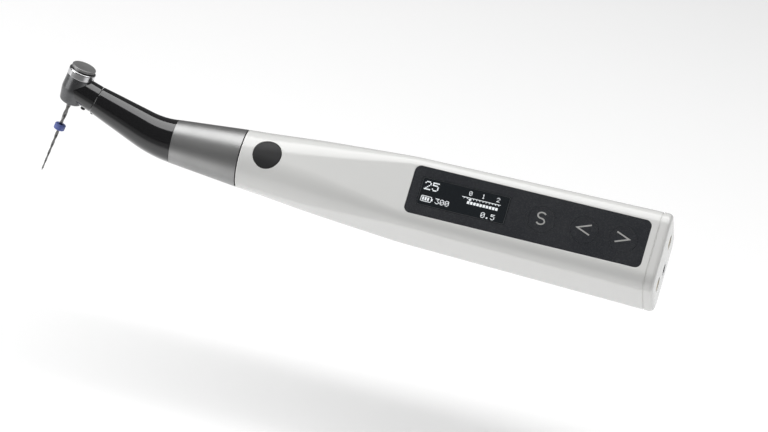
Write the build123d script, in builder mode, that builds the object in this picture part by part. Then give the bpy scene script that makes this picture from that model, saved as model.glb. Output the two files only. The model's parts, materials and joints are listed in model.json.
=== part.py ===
from build123d import *

import os
from math import acos, atan, cos, degrees, pi, radians, sin, tan

# A cordless endodontic motor handpiece with a built-in apex locator.
# The origin is the centre of the tail face. +X leaves through the tail, +Z is up, and the bent
# front lies in the XZ plane with the file pointing down. All sizes are in millimetres.

# ---- driving dimensions -------------------------------------------------------------------
TWIST = 52.0  # turn of the square body about X, from +Z towards -Y
WALL = 1.6
SEAM_X = -141.7  # where the white housing meets the grey sleeve
BODY_END_X = -3.4
CAP_X = -3.0
FACE_START_X = -85.0  # the four flat faces are straight from here to the tail
FACE_START_HEIGHT = 12.1
FACE_END_HEIGHT = 13.8
FRONT_STATIONS = (  # x, side, corner radius of the rounded square section
    (SEAM_X, 19.1, 9.25),
    (-134.0, 20.2, 9.6),
    (-117.0, 22.6, 9.0),
    (-100.0, 23.6, 6.7),
)
FACE_START_CORNER = 4.2
FACE_END_CORNER = 5.4

PANEL_LENGTH = 78.9
PANEL_WIDTH = 16.5
PANEL_X = -45.15  # middle of the panel
PANEL_THICK = 0.7
WINDOW_LENGTH = 29.6
WINDOW_WIDTH = 9.9
WINDOW_X = -66.6
KEYS = {"select_key": -40.4, "left_key": -26.2, "right_key": -13.3}
KEY_RADIUS = 4.5
BUTTON_X = -132.8
BUTTON_RADIUS = 4.7

DOOR_X = -46.0
DOOR_LENGTH = 66.0
DOOR_WIDTH = 17.4
DOOR_SCREW_OFFSET = 29.5
BATTERY_RADIUS = 7.0
BATTERY_LENGTH = 50.0
BATTERY_HEIGHT = -3.2  # along the panel's outward direction
BOARD_HEIGHT = 5.8
BOARD_THICK = 1.0
FRAME_TOP = 5.2

SLEEVE_REAR_X = -142.0
SLEEVE_REAR_RADIUS = 9.55
NECK_START_X = -165.0
NECK_START_RADIUS = 7.2
BEND_X = -170.5  # where the body axis and the neck axis cross
BEND_ANGLE = 18.5
COLLAR_START = 23.6  # along the neck axis from the bend point
HEAD_LEAN = 11.8
DISC_TOP = Vector(-198.88, 0, 17.51)
NECK_RADII = (  # distance along the bent axis, radius
    (0, 7.2), (2.5, 6.94), (5.5, 6.62), (9.0, 6.32), (14.0, 5.93), (19.0, 5.52), (24.0, 5.13), (29.0, 4.68),
)
COLLAR_RADII = (4.66, 4.55)
STUDS = (  # reach along the neck axis, radius, height over the axis
    (COLLAR_START - 0.7, 0.5, 5.3),
    (COLLAR_START + 2.6, 0.8, 5.5),
)
NECK_WALL = 1.3

NOSE_RADIUS = 5.2
NOSE_SEAL_RADIUS = 4.79  # to the middle of its 0.92 mm cord
SHAFT_RADIUS = 2.0
SPLINE_TEETH = 12
STUB_RADIUS = 3.3
STUB_BORE = 2.85
NECK_SHAFT_RADIUS = 1.1
BEND_TEETH = 12
BEND_PITCH_RADIUS = 3.0
PINION_TEETH = 12
CHUCK_TEETH = 16
CHUCK_PITCH_RADIUS = 3.0
TOOTH_FACE = 1.1
ADDENDUM = 0.26
DEDENDUM = 0.36
TOOTH_SHARE = 0.36  # tooth thickness over circular pitch

SPINDLE_RADIUS = 1.7
SHANK_RADIUS = 1.175  # 2.35 mm latch-type shank
FILE_TIP_DEPTH = 39.2
FILE_EXIT_DEPTH = 14.0
STOP_DEPTH = 22.6

JACK_DROP = 6.0
JACK_BORE = 1.8
JACK_DEPTH = 12.0
CONTACT_OFFSET = 7.4

# ---- directions and frames ----------------------------------------------------------------
OUT = Vector(0, -sin(radians(TWIST)), cos(radians(TWIST)))  # out of the control panel
ACROSS = Vector(0, cos(radians(TWIST)), sin(radians(TWIST)))  # across the control panel
NECK_DIR = Vector(-cos(radians(BEND_ANGLE)), 0, sin(radians(BEND_ANGLE)))
FILE_DIR = Vector(-sin(radians(HEAD_LEAN)), 0, -cos(radians(HEAD_LEAN)))
BEND_POINT = Vector(BEND_X, 0, 0)
BEND_REACH = NECK_START_X - BEND_X
BEND_RADIUS = BEND_REACH / tan(radians(BEND_ANGLE / 2))
FACE_SLOPE = (FACE_END_HEIGHT - FACE_START_HEIGHT) / (CAP_X - FACE_START_X)

# The neck axis and the head axis cross at this point.
HEAD_CROSS_DEPTH = 7.652
HEAD_POINT = DISC_TOP + FILE_DIR * HEAD_CROSS_DEPTH
CROSS_REACH = (HEAD_POINT - BEND_POINT).length

AXLE = Plane(origin=(0, 0, 0), x_dir=ACROSS, z_dir=(1, 0, 0))  # heights are x, local y is OUT
NECK = Plane(origin=BEND_POINT, x_dir=(0, 1, 0), z_dir=NECK_DIR)
HEAD = Plane(origin=DISC_TOP, x_dir=(0, 1, 0), z_dir=FILE_DIR)  # heights are depths under the disc
UPRIGHT = Plane(origin=(0, 0, 0), x_dir=(1, 0, 0), z_dir=OUT)  # local y is ACROSS


def face_height(x):
    """Distance of a flat face from the body axis."""
    return FACE_START_HEIGHT + (x - FACE_START_X) * FACE_SLOPE


def face_frame(x, side=1):
    """Plane on the panel face (side 1) or the battery face (side -1), x along it, z outwards."""
    tilt = atan(FACE_SLOPE)
    outward = OUT * side
    origin = Vector(x, 0, 0) + outward * face_height(x)
    along = Vector(1, 0, 0) * cos(tilt) + outward * sin(tilt)
    return Plane(origin=origin, x_dir=along, z_dir=outward * cos(tilt) - Vector(1, 0, 0) * sin(tilt))


def neck_frame(travel):
    """Plane square to the neck's centre line, this far along it from the sleeve."""
    arc = BEND_RADIUS * radians(BEND_ANGLE)
    if travel > arc:
        return Plane(
            origin=BEND_POINT + NECK_DIR * (BEND_REACH + travel - arc), x_dir=(0, 1, 0), z_dir=NECK_DIR
        )
    turn = travel / BEND_RADIUS
    origin = (NECK_START_X - BEND_RADIUS * sin(turn), 0, BEND_RADIUS * (1 - cos(turn)))
    return Plane(origin=origin, x_dir=(0, 1, 0), z_dir=(-cos(turn), 0, sin(turn)))


def spoke_frame(index, count):
    """The axle frame, turned about X by this share of a full turn."""
    turn = 2 * pi * index / count
    return Plane(origin=(0, 0, 0), x_dir=ACROSS * cos(turn) + OUT * sin(turn), z_dir=(1, 0, 0))


def stud_frame(reach):
    """Frame on the neck axis, this far from the bend point, pointing out of the underside."""
    return Plane(origin=BEND_POINT + NECK_DIR * reach, x_dir=NECK_DIR, z_dir=NECK_DIR.cross(Vector(0, 1, 0)))


# ---- shared shapes ------------------------------------------------------------------------
def turned(frame, outline, mode=Mode.ADD):
    """Revolve an outline of (radius, height) points about the frame's z axis."""
    side = Plane(origin=frame.origin, x_dir=frame.x_dir, z_dir=-frame.y_dir)
    with BuildSketch(side) as section:
        with BuildLine():
            Polyline(*outline, close=True)
        make_face()
    revolve(section.sketch, axis=Axis(frame.origin, frame.z_dir), mode=mode)


def ring(frame, inner, outer, low, high, mode=Mode.ADD):
    """A plain ring between two heights; an inner radius of 0 makes a rod."""
    turned(frame, [(inner, low), (outer, low), (outer, high), (inner, high)], mode)


def block(frame, size, low, high, corner=0.0, at=(0, 0), mode=Mode.ADD):
    """A rectangle of (length, width), extruded between two heights."""
    with BuildSketch(frame.offset(low)) as outline:
        with Locations(at):
            if corner:
                RectangleRounded(size[0], size[1], corner)
            else:
                Rectangle(size[0], size[1])
    extrude(outline.sketch, amount=high - low, mode=mode)


def rods(frame, radius, low, high, places, mode=Mode.ADD):
    """Round rods or holes at several places on one frame."""
    with BuildSketch(frame.offset(low)) as outline:
        with Locations(*places):
            Circle(radius)
    extrude(outline.sketch, amount=high - low, mode=mode)


def rounded_sections(stations, inset):
    """Rounded squares at (x, side, corner) stations, set in by a wall."""
    sections = []
    for x, side, corner in stations:
        with BuildSketch(AXLE.offset(x)) as section:
            RectangleRounded(side - 2 * inset, side - 2 * inset, corner - inset)
        sections.append(section.sketch)
    return sections


def body_form(inset, front_x, rear_x, mode=Mode.ADD):
    """The housing's form, set in by a wall: a smooth front, then a straight four-faced tail."""
    face_start = (FACE_START_X, 2 * FACE_START_HEIGHT, FACE_START_CORNER)
    face_end = (rear_x, 2 * face_height(rear_x), FACE_END_CORNER)
    front = [(front_x, *FRONT_STATIONS[0][1:]), *FRONT_STATIONS[1:], face_start]
    loft(rounded_sections(front, inset), mode=mode)
    loft(rounded_sections([face_start, face_end], inset), ruled=True, mode=mode)


def neck_form(inset, stations, mode=Mode.ADD):
    """The bent, tapering neck through (travel, radius) stations, set in by a wall."""
    sections = []
    for travel, radius in stations:
        with BuildSketch(neck_frame(travel)) as section:
            Circle(radius - inset)
        sections.append(section.sketch)
    loft(sections, mode=mode)


def bevel_gear(apex, axis, teeth, pitch_angle, cone_distance, bore, back, toward, phase):
    """A straight bevel gear. Its axis runs from the apex to its back, toward is the direction
    of the mesh line, and phase is 0 for a tooth or 0.5 for a gap on that line."""
    radial = (toward - axis * toward.dot(axis)).normalized()
    side = axis.cross(radial)
    near = cone_distance - TOOTH_FACE
    width = TOOTH_SHARE * 2 * pi * sin(pitch_angle) / teeth
    frame = Plane(origin=apex, x_dir=radial, z_dir=axis)
    root = [
        (reach * sin(pitch_angle) - DEDENDUM * cos(pitch_angle),
         reach * cos(pitch_angle) + DEDENDUM * sin(pitch_angle))
        for reach in (near, cone_distance)
    ]
    turned(frame, [(bore, root[0][1]), root[0], root[1], (root[1][0], back), (bore, back)])
    for index in range(teeth):
        turn = 2 * pi * (index + phase) / teeth
        outward = radial * cos(turn) + side * sin(turn)
        tangent = side * cos(turn) - radial * sin(turn)
        line = outward * sin(pitch_angle) + axis * cos(pitch_angle)
        sections = []
        for reach in (near + 0.02, cone_distance - 0.02):
            half = width * reach / 2
            with BuildSketch(Plane(origin=apex + line * reach, x_dir=tangent, z_dir=line)) as section:
                with BuildLine():
                    up = 1 if line.cross(tangent).dot(outward * cos(pitch_angle)) > 0 else -1
                    foot = half + 0.12
                    tip = half - 0.09
                    Polyline(
                        (-foot, -up * (DEDENDUM + 0.1)),
                        (foot, -up * (DEDENDUM + 0.1)),
                        (tip, up * ADDENDUM),
                        (-tip, up * ADDENDUM),
                        close=True,
                    )
                make_face()
            sections.append(section.sketch)
        loft(sections)


# ---- white housing and what it holds ------------------------------------------------------
with BuildPart() as outer_form:
    body_form(0, SEAM_X, BODY_END_X)

POCKET = face_frame(PANEL_X)
WINDOW = face_frame(WINDOW_X)
DOOR = face_frame(DOOR_X, side=-1)
DOOR_SCREWS = [(-DOOR_SCREW_OFFSET, 0), (DOOR_SCREW_OFFSET, 0)]
DOOR_OPENING = (52.0, 14.2)
BUTTON = Plane(origin=(BUTTON_X, 0, 0), x_dir=(1, 0, 0), z_dir=OUT)

with BuildPart() as main_housing:
    add(outer_form.part)
    body_form(WALL, SEAM_X + 2.0, BODY_END_X, mode=Mode.SUBTRACT)
    ring(AXLE, 0, NOSE_RADIUS + 0.05, SEAM_X - 1, SEAM_X + 3, mode=Mode.SUBTRACT)
    # pocket for the control panel, with the display opening and the key holes through its floor
    block(POCKET, (PANEL_LENGTH + 0.1, PANEL_WIDTH + 0.1), -0.75, 2, corner=2.05, mode=Mode.SUBTRACT)
    block(WINDOW, (WINDOW_LENGTH - 0.8, WINDOW_WIDTH - 0.7), -4, 1, mode=Mode.SUBTRACT)
    for key_x in KEYS.values():
        rods(face_frame(key_x), KEY_RADIUS + 0.12, -4, 1, [(0, 0)], mode=Mode.SUBTRACT)
    rods(BUTTON, BUTTON_RADIUS + 0.1, 0, 20, [(0, 0)], mode=Mode.SUBTRACT)
    # frame round the battery door, with its ledge and two screw bosses
    block(DOOR, (DOOR_LENGTH + 4, DOOR_WIDTH + 3.2), -4.0, -0.9)
    rods(DOOR, 2.5, -5.6, -3, DOOR_SCREWS)
    block(DOOR, (DOOR_LENGTH, DOOR_WIDTH), -2.0, 2, mode=Mode.SUBTRACT)
    block(DOOR, DOOR_OPENING, -6, 1, mode=Mode.SUBTRACT)
    rods(DOOR, 1.62, -7, 0, DOOR_SCREWS, mode=Mode.SUBTRACT)

with BuildPart() as tail_cap:
    block(AXLE, (2 * FACE_END_HEIGHT, 2 * FACE_END_HEIGHT), CAP_X, 0, corner=5.4)
    fillet(tail_cap.faces().sort_by(Axis.X)[-1].edges(), 1.5)
    lip = 2 * (FACE_END_HEIGHT - WALL) - 0.5
    block(AXLE, (lip, lip), -6.4, CAP_X, corner=3.4)
    block(AXLE, (lip - 2.4, lip - 2.4), -6.4, -2.2, corner=2.4, mode=Mode.SUBTRACT)
    rods(AXLE, 2.5, -0.9, 1, [(-CONTACT_OFFSET, 0), (CONTACT_OFFSET, 0)], mode=Mode.SUBTRACT)
    rods(AXLE, 0.8, -4, 1, [(-CONTACT_OFFSET, 0), (CONTACT_OFFSET, 0)], mode=Mode.SUBTRACT)
    rods(AXLE, 2.63, -4, 1, [(0, -JACK_DROP)], mode=Mode.SUBTRACT)

with BuildPart() as tail_gasket:
    outer = 2 * FACE_END_HEIGHT - 0.6
    block(AXLE, (outer, outer), BODY_END_X, CAP_X, corner=5.1)
    block(AXLE, (outer - 2.1, outer - 2.1), BODY_END_X, CAP_X, corner=4.05, mode=Mode.SUBTRACT)

with BuildPart() as charging_contacts:
    for offset in (-CONTACT_OFFSET, CONTACT_OFFSET):
        pad = Plane(origin=ACROSS * offset, x_dir=ACROSS, z_dir=(1, 0, 0))
        turned(pad, [(0, -12.9), (0.7, -12.9), (0.7, -0.9), (1.7, -0.9), (1.7, -0.45), (1.5, -0.25), (0, -0.25)])

with BuildPart() as probe_jack:
    jack = Plane(origin=OUT * -JACK_DROP, x_dir=ACROSS, z_dir=(1, 0, 0))
    ring(jack, 0, 2.6, -JACK_DEPTH - 0.9, 0)
    ring(jack, 0, JACK_BORE, -JACK_DEPTH, 1, mode=Mode.SUBTRACT)

with BuildPart() as tail_board:
    block(AXLE, (18, 14), -13.8, -13.0, at=(0, -2.5))

with BuildPart() as inner_frame:
    plate = Plane(origin=(-49, 0, 0), x_dir=(1, 0, 0), z_dir=OUT)
    block(plate, (68, 20.4), FRAME_TOP - 1.0, FRAME_TOP)
    for wall_x in (-72.0, -20.0):
        block(Plane(origin=(wall_x, 0, 0), x_dir=(1, 0, 0), z_dir=OUT), (0.8, 13.6), -7.8, FRAME_TOP - 0.5)
    BOARD_POSTS = [(-31, -7), (-31, 7), (31.5, -7), (31.5, 7)]
    rods(plate, 1.5, FRAME_TOP - 0.2, BOARD_HEIGHT - 0.02, BOARD_POSTS)
    rods(plate, 0.62, FRAME_TOP - 2, BOARD_HEIGHT + 1, BOARD_POSTS, mode=Mode.SUBTRACT)

with BuildPart() as main_board:
    block(Plane(origin=(-47, 0, 0), x_dir=(1, 0, 0), z_dir=OUT), (70, 17.4), BOARD_HEIGHT,
          BOARD_HEIGHT + BOARD_THICK)
    rods(plate, 0.7, BOARD_HEIGHT - 1, BOARD_HEIGHT + 2, BOARD_POSTS, mode=Mode.SUBTRACT)

with BuildPart() as board_screws:
    rods(plate, 0.6, FRAME_TOP - 0.9, BOARD_HEIGHT + BOARD_THICK + 0.1, BOARD_POSTS)
    rods(plate, 1.2, BOARD_HEIGHT + BOARD_THICK + 0.02, BOARD_HEIGHT + BOARD_THICK + 0.8, BOARD_POSTS)

with BuildPart() as key_switches:
    for key_x in KEYS.values():
        seat = Plane(origin=(key_x, 0, 0), x_dir=(1, 0, 0), z_dir=OUT)
        block(seat, (4.6, 4.6), BOARD_HEIGHT + BOARD_THICK + 0.02, 7.7)
        rods(seat, 1.0, 7.6, 7.95, [(0, 0)])

with BuildPart() as display_module:
    block(WINDOW, (WINDOW_LENGTH - 1.2, WINDOW_WIDTH - 1.1), -3.2, -0.95)
    for end in (-1, 1):
        block(WINDOW, (1.2, WINDOW_WIDTH - 1.1), -5.2, -3.1, at=(end * (WINDOW_LENGTH / 2 - 1.2), 0))

with BuildPart() as control_panel:
    block(POCKET, (PANEL_LENGTH, PANEL_WIDTH), -PANEL_THICK, 0, corner=2.0)
    block(WINDOW, (WINDOW_LENGTH + 0.06, WINDOW_WIDTH + 0.06), -2, 1, corner=0.6, mode=Mode.SUBTRACT)
    for key_x in KEYS.values():
        rods(face_frame(key_x), KEY_RADIUS + 0.06, -2, 1, [(0, 0)], mode=Mode.SUBTRACT)

with BuildPart() as display_window:
    block(WINDOW, (WINDOW_LENGTH, WINDOW_WIDTH), -PANEL_THICK, 0, corner=0.57)

with BuildPart() as battery_cell:
    cell = Plane(origin=OUT * BATTERY_HEIGHT, x_dir=ACROSS, z_dir=(1, 0, 0))
    front = DOOR_X - BATTERY_LENGTH / 2
    ring(cell, 0, BATTERY_RADIUS, front + 0.6, front + BATTERY_LENGTH - 1.4)
    ring(cell, 0, 2.8, front + BATTERY_LENGTH - 1.5, front + BATTERY_LENGTH - 0.6)

with BuildPart() as battery_contacts:
    ring(cell, 1.2, 4.0, front - 0.55, front + 0.5)
    ring(cell, 1.2, 3.0, front + BATTERY_LENGTH - 0.5, front + BATTERY_LENGTH + 0.55)

with BuildPart() as buzzer:
    sounder = Plane(origin=OUT * -2.0, x_dir=ACROSS, z_dir=(1, 0, 0))
    ring(sounder, 0, 4.5, -80.0, -77.5)
    ring(sounder, 0, 0.8, -80.4, -79.6, mode=Mode.SUBTRACT)

with BuildPart() as motor:
    turned(AXLE, [(0, -110), (7.3, -110), (7.5, -109.8), (7.5, -86.2), (7.3, -86), (3, -86), (3, -84.4), (0, -84.4)])

with BuildPart() as gearbox:
    turned(AXLE, [(0, -126), (6.5, -126), (6.5, -110.05), (0, -110.05)])
    for groove_x in (-121.0, -116.0):
        ring(AXLE, 6.2, 7, groove_x, groove_x + 0.5, mode=Mode.SUBTRACT)

with BuildPart() as motor_mounts:
    ring(AXLE, 7.53, 9.5, -106, -101)
    ring(AXLE, 7.53, 9.8, -95, -90)

with BuildPart() as motor_nose:
    turned(AXLE, [(2.1, -126.05), (3.1, -126.05), (3.1, -138.5), (7.4, -138.5), (7.4, -139.65),
                  (NOSE_RADIUS, -139.65), (NOSE_RADIUS, -159.4), (4.9, -159.9), (2.1, -159.9)])
    ring(AXLE, 2.0, 3.62, -161, -157, mode=Mode.SUBTRACT)
    ring(AXLE, 4.3, 6, -154.2, -152.8, mode=Mode.SUBTRACT)

with BuildPart() as nose_bearing:
    ring(AXLE, SHAFT_RADIUS + 0.04, 3.6, -159.8, -157.05)

with BuildPart() as nose_seal:
    with BuildSketch(Plane(origin=(-153.5, 0, 0), x_dir=ACROSS, z_dir=-OUT)) as bead:
        with Locations((NOSE_SEAL_RADIUS, 0)):
            Circle(0.46)
    revolve(bead.sketch, axis=Axis.X)

with BuildPart() as output_shaft:
    ring(AXLE, 0, SHAFT_RADIUS, -160.3, -128.0)
    ring(AXLE, 0, 1.58, -163.5, -160.3)
    for index in range(SPLINE_TEETH):
        block(spoke_frame(index, SPLINE_TEETH), (0.6, 0.38), -163.4, -160.2, at=(1.68, 0))

with BuildPart() as button_board:
    block(BUTTON, (8, 8), 3.2, 3.6)

with BuildPart() as power_switch:
    block(BUTTON, (4.6, 4.6), 3.62, 4.35)
    rods(BUTTON, 1.0, 4.3, 4.5, [(0, 0)])

with BuildPart() as power_button:
    rods(BUTTON, BUTTON_RADIUS, 5.6, 14, [(0, 0)])
    add(outer_form.part, mode=Mode.INTERSECT)
    rods(BUTTON, 5.5, 5.3, 6.05, [(0, 0)])
    rods(BUTTON, 1.2, 5.05, 5.6, [(0, 0)])


def panel_key(x):
    """A round key under the panel film, with a retaining flange and a stem to its switch."""
    frame = face_frame(x)
    rods(frame, KEY_RADIUS, -1.9, 0, [(0, 0)])
    rods(frame, KEY_RADIUS + 0.7, -2.5, -1.75, [(0, 0)])
    rods(frame, 1.5, 8.35 - face_height(x), -2.4, [(0, 0)])


with BuildPart() as select_key:
    panel_key(KEYS["select_key"])

with BuildPart() as left_key:
    panel_key(KEYS["left_key"])

with BuildPart() as right_key:
    panel_key(KEYS["right_key"])

# ---- battery door -------------------------------------------------------------------------
with BuildPart() as battery_cover:
    block(DOOR, (DOOR_LENGTH - 0.2, DOOR_WIDTH - 0.2), -1.5, 1.0)
    add(outer_form.part, mode=Mode.INTERSECT)
    rods(DOOR, 1.8, -1.25, 1, DOOR_SCREWS, mode=Mode.SUBTRACT)
    rods(DOOR, 1.05, -3, 1, DOOR_SCREWS, mode=Mode.SUBTRACT)

with BuildPart() as cover_gasket:
    block(DOOR, (DOOR_LENGTH - 0.5, DOOR_WIDTH - 0.5), -1.98, -1.52)
    block(DOOR, (DOOR_OPENING[0] + 0.6, DOOR_OPENING[1] + 0.6), -3, 0, mode=Mode.SUBTRACT)
    rods(DOOR, 1.7, -3, 0, DOOR_SCREWS, mode=Mode.SUBTRACT)

with BuildPart() as cover_screws:
    rods(DOOR, 1.7, -1.22, -0.2, DOOR_SCREWS)
    rods(DOOR, 0.95, -5.2, -1.2, DOOR_SCREWS)
    for place in DOOR_SCREWS:
        block(DOOR, (2.2, 0.5), -0.6, 0, at=place, mode=Mode.SUBTRACT)

with BuildPart() as cover_inserts:
    rods(DOOR, 1.6, -5.5, -2.1, DOOR_SCREWS)
    rods(DOOR, 1.02, -6, -1, DOOR_SCREWS, mode=Mode.SUBTRACT)

# ---- contra-angle: sleeve and neck --------------------------------------------------------
SLEEVE_SLOPE = (SLEEVE_REAR_RADIUS - NECK_START_RADIUS) / (SEAM_X - NECK_START_X)

with BuildPart() as contra_sleeve:
    turned(AXLE, [
        (7.5, SLEEVE_REAR_X), (SLEEVE_REAR_RADIUS + SLEEVE_SLOPE * (SLEEVE_REAR_X - SEAM_X), SLEEVE_REAR_X),
        (NECK_START_RADIUS, NECK_START_X), (4.95, NECK_START_X), (4.95, -160.3), (5.75, -160.3),
        (5.75, -151.0), (6.95, -151.0), (6.95, -148.0), (7.5, -148.0)])

with BuildPart() as index_ring:
    ring(AXLE, NOSE_RADIUS + 0.05, 7.35, -147.0, -143.5)
    for index in range(SPLINE_TEETH):
        notch = spoke_frame(index, SPLINE_TEETH)
        block(notch, (1.2, 0.8), -148, -146.2, at=(7.0, 0), mode=Mode.SUBTRACT)

with BuildPart() as coupling_tube:
    turned(AXLE, [(NOSE_RADIUS + 0.1, -149), (6.9, -149), (6.9, -150.95), (5.7, -150.95), (5.7, -157.5),
                  (NOSE_RADIUS + 0.1, -157.5)])

INNER_NECK_END = 19.0 - BEND_REACH + BEND_RADIUS * radians(BEND_ANGLE)
with BuildPart() as neck_sheath:
    neck_form(0, NECK_RADII)
    neck_form(NECK_WALL, [*NECK_RADII[:-2], (INNER_NECK_END, 5.1)], mode=Mode.SUBTRACT)
    ring(AXLE, 3.9, 6.2, NECK_START_X - 0.5, NECK_START_X)
    ring(AXLE, 3.9, 4.9, NECK_START_X - 0.3, -160.4)
    ring(NECK, 0, STUB_RADIUS + 0.05, 15, 30, mode=Mode.SUBTRACT)
    rods(stud_frame(STUDS[0][0]), STUDS[0][1] + 0.02, 3, 6, [(0, 0)], mode=Mode.SUBTRACT)

with BuildPart() as input_carrier:
    ring(AXLE, 3.62, 4.7, -168.8, -165.6)

with BuildPart() as input_bearing:
    ring(AXLE, 1.54, 3.6, -168.7, -167.2)

with BuildPart() as neck_carrier:
    ring(NECK, 3.02, 4.4, 3.2, 5.2)

with BuildPart() as neck_bearings:
    ring(NECK, NECK_SHAFT_RADIUS + 0.04, 3.0, 3.2, 5.2)
    ring(NECK, NECK_SHAFT_RADIUS + 0.04, STUB_BORE - 0.02, 24.5, 26.5)

# ---- contra-angle: head -------------------------------------------------------------------
with BuildPart() as head_housing:
    turned(HEAD, [(0, 3.72), (4.45, 3.72), (4.6, 8.6), (3.7, 13.3), (0, 13.3)])
    fillet(head_housing.edges().filter_by(GeomType.CIRCLE).sort_by(Axis(DISC_TOP, FILE_DIR))[-1], 1.3)
    ring(NECK, 0, STUB_RADIUS, 20.0, 29.5)
    ring(NECK, 0, STUB_BORE, 19.0, 31.0, mode=Mode.SUBTRACT)
    turned(HEAD, [(0, 3.0), (3.42, 3.0), (3.42, 10.6), (3.02, 11.1), (3.02, 12.6), (1.85, 12.6), (1.85, 14),
                  (0, 14)], mode=Mode.SUBTRACT)

with BuildPart() as front_collar:
    turned(NECK, [(STUB_RADIUS + 0.05, COLLAR_START + 0.12), (COLLAR_RADII[0], COLLAR_START + 0.12), (COLLAR_RADII[1], 32.0),
                  (STUB_RADIUS + 0.05, 32.0)])
    turned(HEAD, [(0, -3), (4.58, -3), (4.58, 3.73), (4.48, 3.73), (4.63, 8.6), (3.72, 13.4), (0, 13.4)],
           mode=Mode.SUBTRACT)
    rods(stud_frame(STUDS[1][0]), STUDS[1][1] + 0.02, 3, 6, [(0, 0)], mode=Mode.SUBTRACT)

with BuildPart() as neck_studs:
    for reach, radius, proud in STUDS:
        turned(stud_frame(reach), [(0, 3.4), (radius, 3.4), (radius, proud - 0.3), (radius * 0.6, proud),
                                   (0, proud)])

with BuildPart() as cap_ring:
    turned(HEAD, [(3.6, 1.3), (4.2, 1.3), (4.55, 1.65), (4.55, 3.4), (4.35, 3.7), (3.38, 3.7),
                  (3.38, 4.95), (2.98, 4.95), (2.98, 3.7), (2.0, 3.7), (2.0, 3.2), (3.6, 3.2)])

with BuildPart() as push_button:
    turned(HEAD, [(0, 0), (3.8, 0), (4.05, 0.25), (4.05, 0.8), (3.5, 0.8), (3.5, 2.5), (3.0, 2.5), (3.0, 1.2),
                  (0.8, 1.2), (0.8, 3.7), (0, 3.7)])

SPRING_TOP = 1.4
SPRING_PITCH = 0.53
SPRING_WIRE = 0.17
with BuildPart() as button_spring:
    with BuildLine() as coil:
        Helix(SPRING_PITCH, 3 * SPRING_PITCH, 2.4, center=DISC_TOP + FILE_DIR * SPRING_TOP, direction=FILE_DIR)
    with BuildSketch(Plane(origin=coil.line @ 0, z_dir=coil.line % 0)) as wire:
        Circle(SPRING_WIRE)
    sweep(wire.sketch, path=coil.line, is_frenet=True)

# ---- drive train --------------------------------------------------------------------------
MESH_AT_BEND = (Vector(1, 0, 0) + NECK_DIR).normalized()
BEND_CONE = acos(MESH_AT_BEND.dot(NECK_DIR))
BEND_CONE_DISTANCE = BEND_PITCH_RADIUS / sin(BEND_CONE)
HEAD_ANGLE = acos(FILE_DIR.dot(-NECK_DIR))
PINION_CONE = atan(sin(HEAD_ANGLE) / (CHUCK_TEETH / PINION_TEETH + cos(HEAD_ANGLE)))
CHUCK_CONE = HEAD_ANGLE - PINION_CONE
HEAD_CONE_DISTANCE = CHUCK_PITCH_RADIUS / sin(CHUCK_CONE)
MESH_AT_HEAD = (FILE_DIR * (sin(PINION_CONE) / sin(HEAD_ANGLE)) - NECK_DIR * (sin(CHUCK_CONE) / sin(HEAD_ANGLE)))

with BuildPart() as input_shaft:
    ring(AXLE, 0, 3.0, -164.6, -160.4)
    ring(AXLE, 0, 2.15, -163.8, -160.0, mode=Mode.SUBTRACT)
    for index in range(SPLINE_TEETH):
        block(spoke_frame(index + 0.5, SPLINE_TEETH), (0.6, 0.3), -163.9, -160.4, at=(2.06, 0))
    ring(AXLE, 0, 1.5, -169.6, -164.5)

with BuildPart() as input_gear:
    bevel_gear(BEND_POINT, Vector(1, 0, 0), BEND_TEETH, BEND_CONE, BEND_CONE_DISTANCE, 1.52, 1.7, MESH_AT_BEND, 0)

with BuildPart() as neck_shaft:
    ring(NECK, 0, NECK_SHAFT_RADIUS, 0.9, CROSS_REACH - 2.4)

with BuildPart() as neck_gear:
    bevel_gear(BEND_POINT, NECK_DIR, BEND_TEETH, BEND_CONE, BEND_CONE_DISTANCE, NECK_SHAFT_RADIUS + 0.02, 1.7,
               MESH_AT_BEND, 0.5)

with BuildPart() as head_pinion:
    bevel_gear(HEAD_POINT, -NECK_DIR, PINION_TEETH, PINION_CONE, HEAD_CONE_DISTANCE, NECK_SHAFT_RADIUS + 0.02, 4.2,
               MESH_AT_HEAD, 0)

with BuildPart() as chuck_gear:
    bevel_gear(HEAD_POINT, FILE_DIR, CHUCK_TEETH, CHUCK_CONE, HEAD_CONE_DISTANCE, SPINDLE_RADIUS + 0.02, 3.45,
               MESH_AT_HEAD, 0.5)

with BuildPart() as chuck_spindle:
    ring(HEAD, SHANK_RADIUS + 0.025, SPINDLE_RADIUS, 4.2, 13.2)

with BuildPart() as chuck_latch:
    ring(HEAD, 0, SHANK_RADIUS, 4.25, 4.95)

with BuildPart() as chuck_bearings:
    ring(HEAD, SPINDLE_RADIUS + 0.04, 2.95, 4.25, 5.05)
    ring(HEAD, SPINDLE_RADIUS + 0.04, 3.0, 11.25, 12.55)

# ---- file and its stop --------------------------------------------------------------------
with BuildPart() as file_shank:
    turned(HEAD, [(0, 5.0), (1.0, 5.0), (SHANK_RADIUS, 5.2), (SHANK_RADIUS, 12.9), (0.68, FILE_EXIT_DEPTH),
                  (0, FILE_EXIT_DEPTH)])

with BuildPart() as file_blade:
    turned(HEAD, [(0, FILE_EXIT_DEPTH), (0.66, FILE_EXIT_DEPTH), (0.15, FILE_TIP_DEPTH - 0.25), (0, FILE_TIP_DEPTH)])

with BuildPart() as silicone_stop:
    turned(HEAD, [(0.65, STOP_DEPTH - 0.95), (1.65, STOP_DEPTH - 0.95), (1.85, STOP_DEPTH - 0.75),
                  (1.85, STOP_DEPTH + 0.75), (1.65, STOP_DEPTH + 0.95), (0.65, STOP_DEPTH + 0.95)])

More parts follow.
